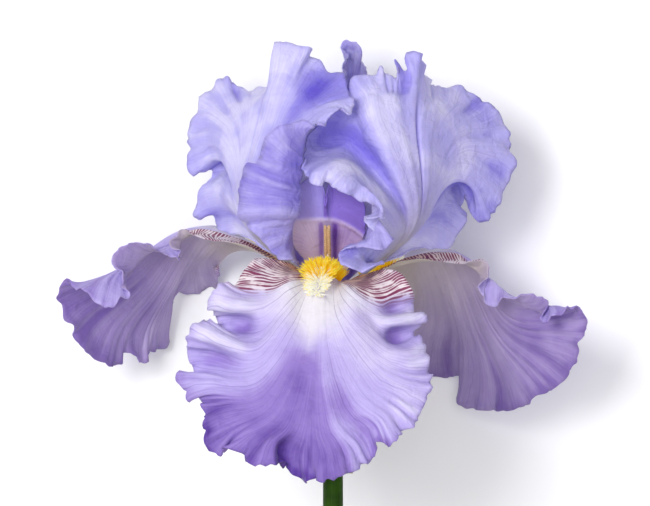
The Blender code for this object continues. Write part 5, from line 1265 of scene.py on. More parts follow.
STYLE = StyleTissue(
    "iris style arm tissue",
    upper_stops=((0, "#D9CEF2"), (0.5, "#B09ADC"), (1, "#7656B6")),
    under_stops=((0, "#E6D8F0"), (0.3, "#CCB8E2"), (0.65, "#9C7CC8"), (1, "#663EA8")),
    glow_stops=((0, "#E2CCEC"), (0.5, "#B892DC"), (1, "#7A4CC0")),
    through=0.15, veins=Veins(6, 3, 1.2, 40), vein_strength=0.1, fine_strength=0.06)


@dataclass(frozen=True)
class BeardHairs(Finish):
    """Short fleshy hairs, orange yellow at the back of a beard and cream with yellow tips ahead, with a weak
    painted glow.

    Attributes:
        yellow_stops: The yellow hairs' colours from root to tip.
        orange: The colour of the deeper yellow hairs.
        glow: The strength of the painted glow, an emission that stands in for the light that many bounces
            among the hairs would add.
        pale_stops: The pale hairs' colours from root to tip.
        white: The colour of the palest hairs.
    """

    name: str = "iris beard hairs"
    yellow_stops: Stops = ((0, "#F4CC18"), (0.4, "#F8E124"), (1, "#FBF05C"))
    orange: str = "#F3C614"
    glow: float = 0.22
    pale_stops: Stops = ((0, "#FBFBF6"), (0.6, "#FAF8EA"), (1, "#FAEEA8"))
    white: str = "#FBFBF6"

    def shader(self, add: Adder) -> Node:
        """Adds the nodes of the hairs.

        Args:
            add: Adds a node.

        Returns:
            The surface's shader.
        """
        hair = add("SeparateXYZ", (add("Attribute", attribute_name="hair").outputs[1],))
        tip, pale, own = hair.outputs[0], hair.outputs[1], hair.outputs[2]
        yellow = add("ValToRGB", (tip,), self.yellow_stops)
        deep = add("MapRange", (own, 0.55, 0.75, 0, 0.6))
        yellow = add("Mix", {0: deep, 6: yellow, 7: self.orange}, **COLOURS)
        cream = add("ValToRGB", (tip,), self.pale_stops)
        bare = add("MapRange", (own, 0.35, 0.5))
        cream = add("Mix", {0: bare, 6: cream, 7: self.white}, **COLOURS)
        colour = add("Mix", {0: pale, 6: yellow, 7: cream}, **COLOURS)
        # Light goes through one fleshy hair into the next, so the brush looks soft and bright; a weak
        # emission paints in the light that many bounces among the hairs would add.
        skin = add("BsdfPrincipled", {
            "Base Color": colour, "Roughness": 0.45, "Specular IOR Level": 0.35, "Emission Color": colour,
            "Emission Strength": self.glow})
        return add("MixShader", (0.5, skin, add("BsdfTranslucent", {"Color": colour})))


@dataclass(frozen=True)
class PlantSkin(Finish):
    """Waxy or papery green skin with parallel veins along it.

    Attributes:
        young: The colour at the lower end of the noise.
        deep: The colour at its upper end.
        dry: The colour of dry edges.
        dry_share: How much of the width at each edge is dry.
        stripes: How many veins lie side by side.
    """

    young: str
    deep: str
    dry: str
    dry_share: float
    stripes: float

    def shader(self, add: Adder) -> Node:
        """Adds the nodes of the skin.

        Args:
            add: Adds a node.

        Returns:
            The surface's shader.
        """
        shares = add("UVMap", uv_map="shares")
        split = add("SeparateXYZ", (shares,))
        seat = add("TexCoord").outputs["Object"]
        long = add("Mapping", {"Vector": shares, "Scale": (self.stripes, 3, 1)})
        veins = add("TexNoise", {"Vector": long, "Scale": 1, "Detail": 2})
        # Mottled patches lie 4 mm apart.
        mottle = add("TexNoise", {"Vector": seat, "Scale": 260, "Detail": 4})
        both = add("Math", (veins, mottle), operation="ADD")
        share = add("MapRange", (both, 0.75, 1.25))
        colour = add("Mix", {0: share, 6: self.young, 7: self.deep}, **COLOURS)
        if self.dry_share:
            # The edges and the tip have dried to thin brown paper.
            aside = add("Math", (split.outputs[0], 0.5), operation="SUBTRACT")
            aside = add("Math", (aside,), operation="ABSOLUTE")
            edge = add("Math", (mottle, 0.12, aside), operation="MULTIPLY_ADD")
            edge = add("MapRange", (edge, 0.56 - self.dry_share, 0.58 - 0.3 * self.dry_share), **SMOOTH)
            tip = add("MapRange", (split.outputs[1], 0.72, 0.97), **SMOOTH)
            dried = add("Math", (edge, tip), operation="MAXIMUM")
            colour = add("Mix", {0: dried, 6: colour, 7: self.dry}, **COLOURS)
        # A bloom of wax, or dry fibres, scatters light, so the gloss is weak and broad.
        bump = add("Bump", {"Strength": 0.4, "Distance": 0.3 * MM, "Height": both})
        return add("BsdfPrincipled", {
            "Base Color": colour, "Roughness": 0.6, "Specular IOR Level": 0.15, "Normal": bump})


@dataclass(frozen=True)
class SoftSkin(Finish):
    """The soft skin of a filament or an anther.

    Attributes:
        low: One colour of the mottle.
        high: The other colour.
        grain_mm: The size of the grains in its relief.
        relief_mm: The height of the grains.
        roughness: How rough it is.
    """

    low: str
    high: str
    grain_mm: float
    relief_mm: float
    roughness: float

    def shader(self, add: Adder) -> Node:
        """Adds the nodes of the skin.

        Args:
            add: Adds a node.

        Returns:
            The surface's shader.
        """
        seat = add("TexCoord").outputs["Object"]
        grains = add("TexNoise", {"Vector": seat, "Scale": 1 / (self.grain_mm * MM), "Detail": 3})
        share = add("MapRange", (grains, 0.35, 0.65))
        colour = add("Mix", {0: share, 6: self.low, 7: self.high}, **COLOURS)
        # Loose pollen makes an anther dusty and dull, and a filament's moist skin shines a little.
        bump = add("Bump", {"Strength": 0.6, "Distance": self.relief_mm * MM, "Height": grains})
        return add("BsdfPrincipled", {
            "Base Color": colour, "Roughness": self.roughness, "Specular IOR Level": 0.3, "Normal": bump})


STALK_SKIN = PlantSkin("waxy iris stalk skin", "#2E5400", "#1C3A00", "#6A5A30", 0, 60)
SPATHE_SKIN = PlantSkin("papery iris spathe", "#7E8F4E", "#56702E", "#B59A6C", 0.14, 46)
FILAMENT_SKIN = SoftSkin("iris filament skin", "#E4DAE6", "#F2ECF2", 0.5, 0.02, 0.45)
ANTHER_SKIN = SoftSkin("iris anther with pollen", "#A8805C", "#DFC39C", 0.22, 0.08, 0.8)


def folds(*rows: Point) -> tuple[Fold, ...]:
    """Folds from rows of their fields."""
    return tuple(Fold(*row) for row in rows)


def pleats(*rows: Point) -> tuple[Pleats, ...]:
    """Runs of pleats from rows of their fields."""
    return tuple(Pleats(*row) for row in rows)


# The folds and pleats of each petal, at margin numbers and shares of the way. The last number of each is
# painted shade, or painted highlight below 0; folds with no lift are painted shade alone.
FRONT_FALL_FOLDS = folds(
    (12.4, 0.76, 1, 0.17, -2.2, 0.75), (18, 0.76, 1.1, 0.15, -1.2, 0.45), (52.4, 0.73, 0.9, 0.16, -2.1, 0.75),
    (55.1, 0.74, 0.8, 0.14, -1, 0.6), (33, 0.9, 0.7, 0.16, -2, 0.9), (24, 0.84, 1.3, 0.2, -1, 0.55),
    (41.8, 0.75, 1, 0.3, -0.8, 0.4), (36.6, 0.8, 1.7, 0.45, -0.5, 0.3), (10.2, 0.8, 0.8, 0.2, 1.5, -0.3),
    (15.5, 0.76, 0.9, 0.24, 1.7, -0.3), (20.6, 0.82, 0.7, 0.26, 1.1, -0.15), (28, 0.8, 0.9, 0.35, 0.9, -0.35),
    (31.2, 0.88, 0.5, 0.25, 0.8, -0.35), (39.3, 0.84, 0.7, 0.3, 1, -0.5), (53.8, 0.78, 0.6, 0.2, 1, -0.35),
    (50.3, 0.86, 0.5, 0.2, 0.5, -0.15), (34.7, 1, 1, 0.07, 0, 0.7), (42.6, 1, 0.9, 0.09, 0, 0.6),
    (25.4, 1, 0.8, 0.08, 0, 0.5))
FRONT_FALL_PLEATS = pleats(
    (19, 33, 0.95, 0.66, 0.6, 0.08), (34, 52, 0.9, 0.62, 0.6, 0.08), (2, 18, 0.8, 0.7, 0.35, 0.05))

LEFT_FALL_FOLDS = folds(
    (14.4, 0.75, 0.8, 0.3, -0.9, -0.15), (17.2, 0.8, 0.6, 0.3, 0.9, 0.35), (20.4, 0.8, 0.7, 0.3, -0.8, -0.15),
    (23, 0.8, 0.5, 0.25, 0.7, 0.3), (10.5, 0.7, 0.8, 0.25, 0.8, 0.35), (5.5, 0.75, 1.3, 0.25, 0.5, 0.4),
    (13, 1, 1.2, 0.12, 0, 0.4), (19, 1, 3, 0.14, 0, 0.35))
LEFT_FALL_PLEATS = pleats((6, 26, 1.1, 0.35, 0.3, 0.08), (27, 45, 1.2, 0.5, 0.25, 0.08))

RIGHT_FALL_FOLDS = folds(
    (30.4, 0.8, 0.6, 0.35, 0.9, 0.3), (28.2, 0.75, 0.8, 0.3, -0.8, -0.15), (33.6, 0.7, 0.8, 0.35, -0.8, -0.1),
    (36, 0.75, 0.7, 0.3, 0.8, 0.3), (25.4, 0.8, 0.5, 0.25, 0.7, 0.25), (22.6, 0.8, 0.7, 0.25, -0.6, -0.15),
    (29, 1, 4, 0.16, 0, 0.3), (37, 0.9, 1.5, 0.2, 0, 0.3))
RIGHT_FALL_PLEATS = pleats((21, 42, 1.1, 0.32, 0.3, 0.08), (4, 20, 1.2, 0.5, 0.25, 0.08))

LEFT_STANDARD_FOLDS = folds(
    (30.6, 0.8, 1.5, 0.28, 1.2, 1), (33.9, 0.88, 0.9, 0.2, -0.7, -0.2), (26, 0.72, 1.5, 0.4, -0.9, -0.2),
    (23.2, 0.7, 0.3, 0.35, 1.4, 0.35), (18.5, 0.9, 0.6, 0.14, 0.7, 0.5), (20.8, 0.7, 1.2, 0.3, -0.5, -0.15),
    (12, 0.84, 0.4, 0.22, 0.6, 0.25), (14.3, 0.84, 0.4, 0.26, 0.6, 0.2), (16.4, 0.78, 0.5, 0.28, 0.7, 0.3),
    (9.7, 0.72, 0.8, 0.2, 1.5, 0.75), (7.2, 0.76, 0.8, 0.24, -0.8, -0.15), (4.2, 0.65, 1.2, 0.35, 0.9, 0.65),
    (44, 0.8, 6, 0.4, 0, 0.5), (49, 0.86, 0.7, 0.16, -0.8, 0.3), (47, 0.88, 0.5, 0.2, 0.7, -0.2),
    (51.2, 0.92, 0.7, 0.14, 0.5, -0.3))
LEFT_STANDARD_PLEATS = pleats(
    (37.5, 51, 2.1, 0.42, 0.45, 0.08), (37.5, 51, 0.9, 0.7, 0.2, 0.03), (8, 35, 1.3, 0.6, 0.35, -0.04))

RIGHT_STANDARD_FOLDS = folds(
    (25.2, 0.64, 1.5, 0.3, 1.6, 0.8), (21, 0.76, 1.1, 0.32, -1, -0.25), (29.2, 0.75, 1.2, 0.3, -0.9, -0.2),
    (34.5, 0.8, 1.2, 0.26, 0.9, 0.5), (32.4, 0.5, 2, 0.25, -1, -0.15), (37.3, 0.45, 0.45, 0.5, 1.3, 0.4),
    (39.6, 0.6, 1, 0.3, -0.5, 0), (43, 0.86, 0.8, 0.14, 0.7, 0.35), (52.6, 0.68, 1, 0.2, 1.7, 0.75),
    (55.6, 0.66, 1.5, 0.3, 0.7, 0.45), (5.8, 0.82, 1.1, 0.22, 1, 0.5), (9.5, 0.62, 1.5, 0.2, 0.8, 0.4),
    (17, 0.62, 1.4, 0.2, 0.8, 0.45), (14.6, 0.96, 2.4, 0.1, -0.4, -0.3), (45.6, 0.8, 0.4, 0.25, 0.6, 0.2),
    (48, 0.84, 0.4, 0.22, 0.6, 0.2))
RIGHT_STANDARD_PLEATS = pleats(
    (18, 36, 1.2, 0.6, 0.4, -0.04), (38, 51, 1.15, 0.62, 0.35, -0.04), (1, 17, 1.4, 0.6, 0.35, -0.03))

REAR_STANDARD_FOLDS = folds(
    (15, 0.92, 0.5, 0.2, 1, 0.4), (17.4, 0.92, 0.5, 0.2, -0.8, -0.1), (16.5, 0.95, 5, 0.2, 0, 0.05),
    (8, 0.8, 1, 0.3, 1.2, 0.3), (25, 0.8, 1, 0.3, 1.2, 0.3), (16.5, 0.5, 0.5, 0.4, -1, 0.2))
REAR_STANDARD_PLEATS = pleats((2, 15, 1.2, 0.5, 0.3, 0.08), (18, 31, 1.2, 0.5, 0.3, 0.08))


def ring(x: float, y: float, reach: Array, angle: Array) -> Array:
    """Places round the stem at a height, by their reach and angle from an axis beside the throat."""
    return np.stack([x + reach * np.sin(angle), np.full(len(angle), y), reach * np.cos(angle)], axis=1)


@dataclass
class Stem:
    """The stalk, the ovary with its three ridges, and the perianth tube.

    Attributes:
        profile: Places along the stem and its radius there, from the cut end to the throat.
        closing: The rings that shrink to a point at either end, with a rounded rim. Each has its share of
            the radius and how far it lies in from the end.
        ovary: Where the ovary begins and ends.
        ridges: How many ridges it has.
        ridge_height: How far they stand out, in shares of the radius.
        axis_x_mm: How far the axis lies beside the throat, reached over the first third of the way down.
        ribs: How many fine ribs run along the stalk.
        rib_height: How far they stand out, in shares of the radius.
        sides: Steps round it.
        rings: Steps along it.
    """

    profile: tuple[Point, ...] = (
        (-92, 3), (-64, 3), (-48, 3.1), (-40, 3.6), (-34, 4.4), (-26, 4.8), (-18, 4.2), (-13, 3.4), (-7, 3.6),
        (-2.5, 5), (0, 6))
    closing: tuple[Point, ...] = ((0, 0), (0.5, 0), (0.93, 0), (0.985, 0.12))
    ovary: tuple[float, float] = (-40, -13)
    ridges: int = 3
    ridge_height: float = 0.09
    axis_x_mm: float = 0.3
    ribs: int = 14
    rib_height: float = 0.006
    sides: int = 72
    rings: int = 200

    def build(self, bloom: Bloom, finish: Material) -> None:
        """Models the stem.

        Args:
            bloom: The flower's frame.
            finish: The stem's material.
        """
        table = np.array(self.profile, float)
        cut, throat = table[0, 0], table[-1, 0]
        low, high = self.ovary
        angle = np.linspace(0, math.tau, self.sides + 1)
        stations = [(cut + inset, share) for share, inset in self.closing]
        stations += [(y, 1.0) for y in np.linspace(cut + 0.4, throat - 0.4, self.rings)]
        stations += [(throat - inset, share) for share, inset in reversed(self.closing)]
        rows = []
        for y, share in stations:
            radius = share * float(read_smooth(table[:, 0], table[:, 1:], np.array([y]))[0, 0])
            swell = 0.0
            if low < y < high:
                swell = self.ridge_height * math.sin(math.pi * (y - low) / (high - low))
            lean = self.axis_x_mm * min(1.0, y / cut * 3)
            rib = self.rib_height * np.sin(self.ribs * angle + 0.02 * y)
            rows.append(ring(lean, y, radius * (1 + swell * np.cos(self.ridges * angle) + rib), angle))
        piece = grid_piece("stem_fine", np.array(rows).transpose(1, 0, 2), bloom)
        close_round(piece)
        settle(piece, "stem", finish)


@dataclass
class Spathe:
    """A papery leaf that wraps the ovary.

    Attributes:
        node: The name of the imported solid.
        faces_deg: The way that its middle faces, round from the front.
        tip_mm: Where its tip is along the stem.
        stand_off_mm: How far it stands off the inner one.
        wrap_deg: Half its angle round the stem.
        foot_mm: Where it starts.
        grip_mm: Its radius at its foot.
        belly_mm: Its greatest radius.
        axis_x_mm: How far the stem's axis lies beside the throat.
        veins: How many parallel veins would fit round the stem.
        vein_mm: How far they stand out.
        crisp_mm: How far its free edges are waved, once in 7 mm.
        thickness_mm: Its thickness.
        seed: Starts its waves.
    """

    node: str
    faces_deg: float
    tip_mm: float
    stand_off_mm: float
    wrap_deg: float
    foot_mm: float = -55
    grip_mm: float = 4
    belly_mm: float = 6.3
    axis_x_mm: float = 0.3
    veins: int = 26
    vein_mm: float = 0.07
    crisp_mm: float = 0.3
    thickness_mm: float = 0.35
    seed: int = 1

    def build(self, bloom: Bloom, finish: Material) -> None:
        """Models the spathe.

        Args:
            bloom: The flower's frame.
            finish: The spathe's material.
        """
        start = random.Random(self.seed).uniform(0, math.tau)
        across = np.linspace(-1, 1, 65)
        rows = []
        for f in np.linspace(0, 1, 81):
            y = self.foot_mm + (self.tip_mm - self.foot_mm) * f
            belly = math.sin(math.pi * (f * 0.75 + 0.02)) ** 0.8
            reach = self.grip_mm + (self.belly_mm - self.grip_mm) * belly + self.stand_off_mm
            half = math.radians(self.wrap_deg * math.sqrt(max(0.0, 1 - f**2.2)) + 7)
            angle = math.radians(self.faces_deg) + half * across
            vein = self.vein_mm * np.sin(angle * self.veins + start)
            wave = np.sin(y * 0.9 + start + 2 * across)
            crisp = self.crisp_mm * np.abs(across) ** 6 * wave * min(1.0, 4 * f)
            rows.append(ring(self.axis_x_mm, y, reach + vein + crisp, angle))
        piece = grid_piece(self.node + "_fine", np.array(rows).transpose(1, 0, 2), bloom)
        thicken(piece, self.thickness_mm)
        settle(piece, self.node, finish)


def rounded(f: Array, bluntness: int) -> Array:
    """Shares of the full width along a rod with rounded ends, which are blunter the greater the number."""
    return np.clip(1 - (2 * f - 1) ** bluntness, 0, 1) ** 0.5


def rod(name: str, spine: Array, widths: Array, depths: Array, sideways: Array, bloom: Bloom) -> Object:
    """Adds an oval piece along a spine, closed to a point at both ends.

    Args:
        name: The piece's name.
        spine: Places in millimetres.
        widths: Half its width at each place.
        depths: Half its depth at each place.
        sideways: The way of its width.
        bloom: The flower's frame.

    Returns:
        The piece.
    """
    outward = unit(np.cross(sideways, unit(np.gradient(spine, axis=0))))
    angle = np.linspace(0, math.tau, 21)[:, None, None]
    sheet = (spine[None] + np.cos(angle) * widths[None, :, None] * sideways
             + np.sin(angle) * depths[None, :, None] * outward[None])
    piece = grid_piece(name, sheet, bloom)
    close_round(piece)
    return piece


@dataclass
class Stamen:
    """A pale filament and the two-lobed anther at its end.

    Attributes:
        side: Where it stands.
        filament: Places along the filament.
        foot: The anther's lower end.
        tip: Its upper end.
        filament_radius_mm: The filament's radius.
        lobe_half_width_mm: Half the width of one lobe.
        lobe_apart_mm: From the anther's middle to the middle of a lobe.
    """

    side: Side
    filament: tuple[Point, ...] = ((0, 0.62, 3.7), (-0.4, 3.3, 5.5), (-0.9, 7, 8), (-1.3, 11.2, 11.5))
    foot: Point = (-1.3, 9.8, 10)
    tip: Point = (-1.5, 19.4, 20.2)
    filament_radius_mm: float = 0.5
    lobe_half_width_mm: float = 0.56
    lobe_apart_mm: float = 0.47

    def build(self, bloom: Bloom, pale: Material, tan: Material) -> None:
        """Models the stamen in two pieces.

        Args:
            bloom: The flower's frame.
            pale: The filament's material.
            tan: The anther's material.
        """
        turn = self.side.turn
        node = "stamen_" + self.side.word
        sideways = turn @ np.array([1.0, 0.0, 0.0])
        f = np.linspace(0, 1, 41)
        spine = read_smooth(np.arange(4.0), np.array(self.filament), 3 * f) @ turn.T
        radii = self.filament_radius_mm * (1 - 0.3 * f) * rounded(f, 20)
        settle(rod(node + "_filament", spine, radii, radii, sideways, bloom), node, pale)
        foot, tip = turn @ np.array(self.foot), turn @ np.array(self.tip)
        f = np.linspace(0, 1, 61)
        width = self.lobe_half_width_mm * rounded(f, 10)
        lobes = []
        for hand in (-1.0, 1.0):
            # The lobes stand apart at both ends, and each is a little lumpy.
            apart = hand * self.lobe_apart_mm * (1 + 0.25 * (2 * f - 1) ** 4)
            spine = foot + (tip - foot) * (0.02 + 0.98 * f)[:, None] + sideways * apart[:, None]
            lumps = 1 + 0.05 * np.sin(34 * f + hand)
            lobes.append(rod(node + "_anther", spine, width * lumps, width * (2 - lumps), sideways, bloom))
        choose(*lobes)
        bpy.ops.object.join()
        settle(lobes[0], node, tan)


@dataclass
class Beard:
    """The brush of hairs along a fall's middle vein.

    Attributes:
        side: Which fall it lies on.
        start: The share of the way where it begins.
        yellow_end: The share where the yellow hairs end.
        end: The share where the pale hairs end.
        half_width_mm: Half the width of its strip.
        hairs: How many hairs it has.
        length_mm: The shortest and the longest hair.
        radius_mm: The thinnest and the thickest hair at the root.
        crowding: How strongly the hairs crowd towards the throat, 1 where they don't.
        pale_shorter: How much shorter the pale hairs are, in shares of their length.
        stray: How far hairs stray from their even lean.
        seed: Starts the random places.
    """

    side: Side
    start: float
    yellow_end: float
    end: float
    half_width_mm: float
    hairs: int
    length_mm: tuple[float, float]
    radius_mm: tuple[float, float] = (0.12, 0.18)
    crowding: float = 1.35
    pale_shorter: float = 0.42
    stray: float = 0.18
    seed: int = 1

    def hair(self) -> tuple[Array, Array]:
        """Models one upright hair of unit length and radius.

        Returns:
            Its corners and its triangles.
        """
        choose()
        bpy.ops.mesh.primitive_cone_add(
            vertices=4, radius1=1.0, radius2=0.6, depth=1.0, end_fill_type="TRIFAN")
        hair = bpy.context.object
        bpy.ops.object.mode_set(mode="EDIT")
        bpy.ops.mesh.select_all(action="SELECT")
        bpy.ops.transform.translate(value=(0.0, 0.0, 0.5))
        for cut in (0.25, 0.5, 0.75, 0.92):
            bpy.ops.mesh.select_all(action="SELECT")
            bpy.ops.mesh.bisect(plane_co=(0.0, 0.0, cut), plane_no=(0.0, 0.0, 1.0))
        bpy.ops.mesh.select_all(action="SELECT")
        bpy.ops.mesh.quads_convert_to_tris()
        bpy.ops.object.mode_set(mode="OBJECT")
        corners = triples(hair.data.vertices, "co")
        corners[:, :2] *= np.where(corners[:, 2:] > 0.99, 0.45, 1.0)
        faces = np.array([list(face.vertices) for face in hair.data.polygons])
        bpy.data.objects.remove(hair, do_unlink=True)
        return corners, faces

    def root(self, fall: Fall, f: float, g: float) -> tuple[Vector, Vector, Vector, Vector]:
        """Finds a place on the fall's skin.

        Args:
            fall: The fall.
            f: The share of the way along the beard.
            g: The share across it, -1 to 1.

        Returns:
            The place in millimetres, and the unit directions up, ahead and across there.
        """
        share = self.start + (self.end - self.start) * f
        row = float(np.interp(share, fall.shares, np.arange(len(fall.shares))))
        middle = int(np.argmin(np.abs(fall.numbers - fall.vein)))
        here = min(int(row), fall.sheet.shape[1] - 2)
        vein, beyond = Vector(fall.sheet[middle, here]), Vector(fall.sheet[middle, here + 1])
        ahead = (beyond - vein).normalized()
        across = ahead.cross(Vector(fall.upper[middle, here])).normalized()
        wanted = vein.lerp(beyond, row - here) + across * (g * self.half_width_mm)
        near = int(np.argmin(np.linalg.norm(fall.sheet[:, here] - np.array(wanted), axis=1)))
        up = Vector(fall.upper[near, here])
        drop = (Vector(fall.sheet[near, here]) - wanted).dot(up)
        # The root sits 0.1 mm deep in the skin.
        return wanted + up * (drop + 0.5 * fall.thickness_mm - 0.1), up, ahead, across

    def build(self, fall: Fall, bloom: Bloom, finish: Material) -> None:
        """Models the brush as one mesh, each hair a bent copy of the first.

        Args:
            fall: The fall, after it was built.
            bloom: The flower's frame.
            finish: The hairs' material.
        """
        rng = random.Random(self.seed)
        corners, faces = self.hair()
        tipward = np.clip(corners[:, 2], 0, 1)
        every = np.ones(len(corners))
        yellow = (self.yellow_end - self.start) / (self.end - self.start)
        points, triangles, marks = [], [], []
        for k in range(self.hairs):
            f = rng.random() ** self.crowding
            # The brush narrows to a round end ahead.
            narrow = math.sqrt(max(0.05, 1 - max(0.0, (f - 0.7) / 0.32) ** 2))
            g = rng.uniform(-1, 1) * narrow
            spot, up, ahead, across = self.root(fall, f, g)
            pale = min(1.0, max(0.0, (f - yellow + rng.uniform(-0.1, 0.1)) / 0.1))
            length = rng.uniform(*self.length_mm) * (1 - self.pale_shorter * pale) * (1 - 0.15 * g * g)
            # The hairs stand up at the throat, lie forward at the far end, and fan out to both sides.
            lean = -0.1 + 0.9 * f * f + rng.uniform(-self.stray, self.stray)
            way = (up + ahead * lean + across * (0.8 * g + rng.uniform(-0.16, 0.16))).normalized()
            side = way.cross(across).normalized()
            other = way.cross(side).normalized()
            curl = (ahead * rng.uniform(-0.05, 0.3) + across * rng.uniform(-0.22, 0.22)) * length
            radius = rng.uniform(*self.radius_mm)
            triangles.append(faces + k * len(corners))
            points.append(np.array(spot) + np.outer(corners[:, 2] * length, way)
                          + np.outer(corners[:, 0] * radius, side) + np.outer(corners[:, 1] * radius, other)
                          + np.outer(tipward**2, curl))
            marks.append(np.stack([tipward, pale * every, rng.random() * every], axis=1))
        mesh = bpy.data.meshes.new("beard_" + self.side.word + "_hairs")
        mesh.from_pydata(bloom.place(np.concatenate(points)).tolist(), [], np.concatenate(triangles).tolist())
        mark(mesh, "hair", np.concatenate(marks))
        piece = bpy.data.objects.new(mesh.name, mesh)
        bpy.context.scene.collection.objects.link(piece)
        settle(piece, "beard_" + self.side.word, finish)


@dataclass(frozen=True)
class Card(Finish):
    """Matt white card, which scatters light evenly."""

    name: str = "matt white card"
    white: str = "#FAFAFB"

    def shader(self, add: Adder) -> Node:
        """Adds and returns the one shader of the card."""
        # Its fibres scatter light evenly, so it shows soft shadows and no gloss.
        return add("BsdfPrincipled", {"Base Color": self.white, "Roughness": 0.9, "Specular IOR Level": 0.2})


@dataclass
class Studio:
    """The pale table, the soft lights and the camera over the flower.

    Attributes:
        table_m: The width of the table.
        table_drop_m: How far it lies below the flower's lowest margins.
        view_width_mm: How much of the table the picture's width takes in.
        middle_mm: The picture's middle in the flower's own frame.
        camera_height_m: How high the camera hangs over the table.
        sensor_mm: The width of the camera's sensor.
        lamps: The name, place and side in metres, watts and colour of each square soft light.
        sky: The colour of the even light from all round.
        sky_strength: How strong it is.
    """

    table_m: float = 6
    table_drop_m: float = 0.0002
    view_width_mm: float = 195
    middle_mm: tuple[float, float] = (-2.1, 11.1)
    camera_height_m: float = 4
    sensor_mm: float = 36
    lamps: tuple[tuple[str, Point, float, float, str], ...] = (
        ("key", (-0.5, 0.3, 1.25), 0.5, 13, "#FFFFFF"),
        ("overhead", (0.1, -0.1, 1.5), 1.1, 8, "#FFFFFF"),
        ("low fill", (0.3, -1, 0.8), 0.9, 2, "#FFFAF4"))
    sky: str = "#FAFBFF"
    sky_strength: float = 0.42

    def table(self) -> None:
        """Adds the plain pale table that the flower lies on."""
        choose()
        bpy.ops.mesh.primitive_plane_add(size=self.table_m, location=(0.0, 0.0, -self.table_drop_m))
        table = bpy.context.object
        table.name = "table"
        table.data.materials.append(Card().make())

    def light(self) -> None:
        """Hangs the square soft lights so that they face the flower, and lights the sky."""
        for name, place, side, watts, tint in self.lamps:
            light = bpy.data.lights.new(name, "AREA")
            light.size = side
            light.energy = watts
            light.color = linear(tint)[:3]
            lamp = bpy.data.objects.new(name, light)
            lamp.location = place
            aim = Vector((0.0, 0.0, 0.05)) - Vector(place)
            lamp.rotation_euler = aim.to_track_quat("-Z", "Y").to_euler()
            bpy.context.scene.collection.objects.link(lamp)
        world = bpy.context.scene.world or bpy.data.worlds.new("world")
        bpy.context.scene.world = world
        world.use_nodes = True
        background = world.node_tree.nodes["Background"]
        background.inputs["Color"].default_value = linear(self.sky)
        background.inputs["Strength"].default_value = self.sky_strength
        bpy.context.scene.view_settings.view_transform = "Standard"

    def camera(self, bloom: Bloom) -> None:
        """Hangs the camera straight over the flower, as the photograph looks at its face.

        Args:
            bloom: The flower's frame.
        """
        lens = bpy.data.cameras.new("camera")
        lens.sensor_width = self.sensor_mm
        over_flower = self.camera_height_m - bloom.throat.z
        lens.lens = self.sensor_mm * over_flower / (self.view_width_mm * MM)
        camera = bpy.data.objects.new("camera", lens)
        middle = bloom.place(np.array([*self.middle_mm, 0.0]))
        camera.location = (middle[0], middle[1], self.camera_height_m)
        bpy.context.scene.collection.objects.link(camera)
        bpy.context.scene.camera = camera

    def build(self, bloom: Bloom) -> None:
        """Sets up the whole studio."""
        self.table()
        self.light()
        self.camera(bloom)


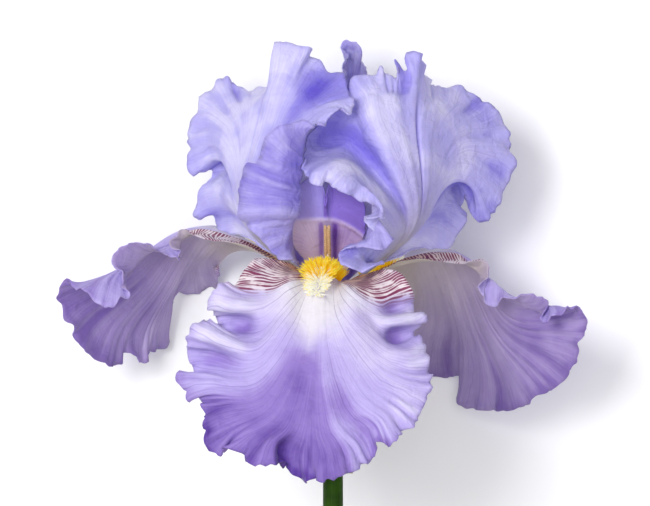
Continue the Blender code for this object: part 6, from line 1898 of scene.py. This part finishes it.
def petals() -> list[Petal]:
    """Lists the petals with what is each one's own.

    Returns:
        The falls, standards and style arms, in the order of building.
    """
    small = {"columns": 340, "rows": 68, "barred": True, "depth": 0.24}
    upright = {"columns": 400, "rows": 80, "fold_painted_shade": 0.65}
    blades: list[Petal] = [
        Fall("fall_front", "fall_petal", FRONT_FALL, 31, FRONT_FALL_FOLDS, FRONT_FALL_PLEATS, seed=11,
             hafts=(7.6, 56),
             ruffles=(Ruffle(9.5, 1.7, 9, 0.9), Ruffle(4.6, 1.1, 5, 0.5), Ruffle(2.7, 0.3, 2.4, 0.3))),
        Fall("fall_left", "fall_petal", LEFT_FALL, 27, LEFT_FALL_FOLDS, LEFT_FALL_PLEATS, seed=12,
             hafts=(5, 46.4), flare=3.6, violet=0.22, blaze_mm=(36, 52), **small),
        Fall("fall_right", "fall_petal", RIGHT_FALL, 22, RIGHT_FALL_FOLDS, RIGHT_FALL_PLEATS, seed=13,
             hafts=(7, 39.5), flare=5, flare_shares=(0.42, 0.2), violet=0.2, blaze_mm=(34, 50), **small),
        Standard("standard_left", "standard_petal", LEFT_STANDARD, 26, LEFT_STANDARD_FOLDS,
                 LEFT_STANDARD_PLEATS, seed=14, depth=0.24, **upright),
        Standard("standard_right", "standard_petal", RIGHT_STANDARD, 37, RIGHT_STANDARD_FOLDS,
                 RIGHT_STANDARD_PLEATS, seed=15, depth=0.3, **upright),
        Standard("standard_rear", "standard_petal", REAR_STANDARD, 16.5, REAR_STANDARD_FOLDS,
                 REAR_STANDARD_PLEATS, columns=300, rows=60, seed=16, depth=0.22),
    ]
    for side, columns, rows in ((Side.FRONT, 150, 80), (Side.LEFT, 100, 60), (Side.RIGHT, 100, 60)):
        blades.append(StyleArm("style_arm_" + side.word, "style_violet", STYLE_ARM, 9, side=side,
                               columns=columns, rows=rows, ruffles=(Ruffle(3.4, 0.3, 3, 0.3),),
                               claw_numbers=1.5, claw_passes=60, form_passes=3))
    return blades


def main() -> None:
    """Builds every piece in order and reports it."""
    logging.basicConfig(level=logging.INFO, format="%(message)s")
    bloom = Bloom()
    Studio().build(bloom)
    tissues = {"fall_petal": FALL.make(), "standard_petal": STANDARD.make(), "style_violet": STYLE.make()}
    blades = petals()
    for petal in blades:
        petal.build(bloom, tissues[petal.slot])
    falls = {petal.node: petal for petal in blades if isinstance(petal, Fall)}
    hairs = BeardHairs().make()
    for beard in (Beard(Side.FRONT, 0.03, 0.14, 0.2, 3, 1600, (3.8, 5.4), seed=21),
                  Beard(Side.LEFT, 0.04, 0.1, 0.135, 1.9, 600, (1.6, 2.4), seed=22),
                  Beard(Side.RIGHT, 0.035, 0.085, 0.11, 1.9, 600, (1.6, 2.4), seed=23)):
        beard.build(falls["fall_" + beard.side.word], bloom, hairs)
    filament, anther = FILAMENT_SKIN.make(), ANTHER_SKIN.make()
    for side in Side:
        Stamen(side).build(bloom, filament, anther)
    Stem().build(bloom, STALK_SKIN.make())
    leaf = SPATHE_SKIN.make()
    Spathe("spathe_inner", 25, -12, 0, 105, seed=31).build(bloom, leaf)
    Spathe("spathe_outer", 200, -5, 1.45, 120, seed=32).build(bloom, leaf)


if __name__ == "__main__":
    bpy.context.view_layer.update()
    main()
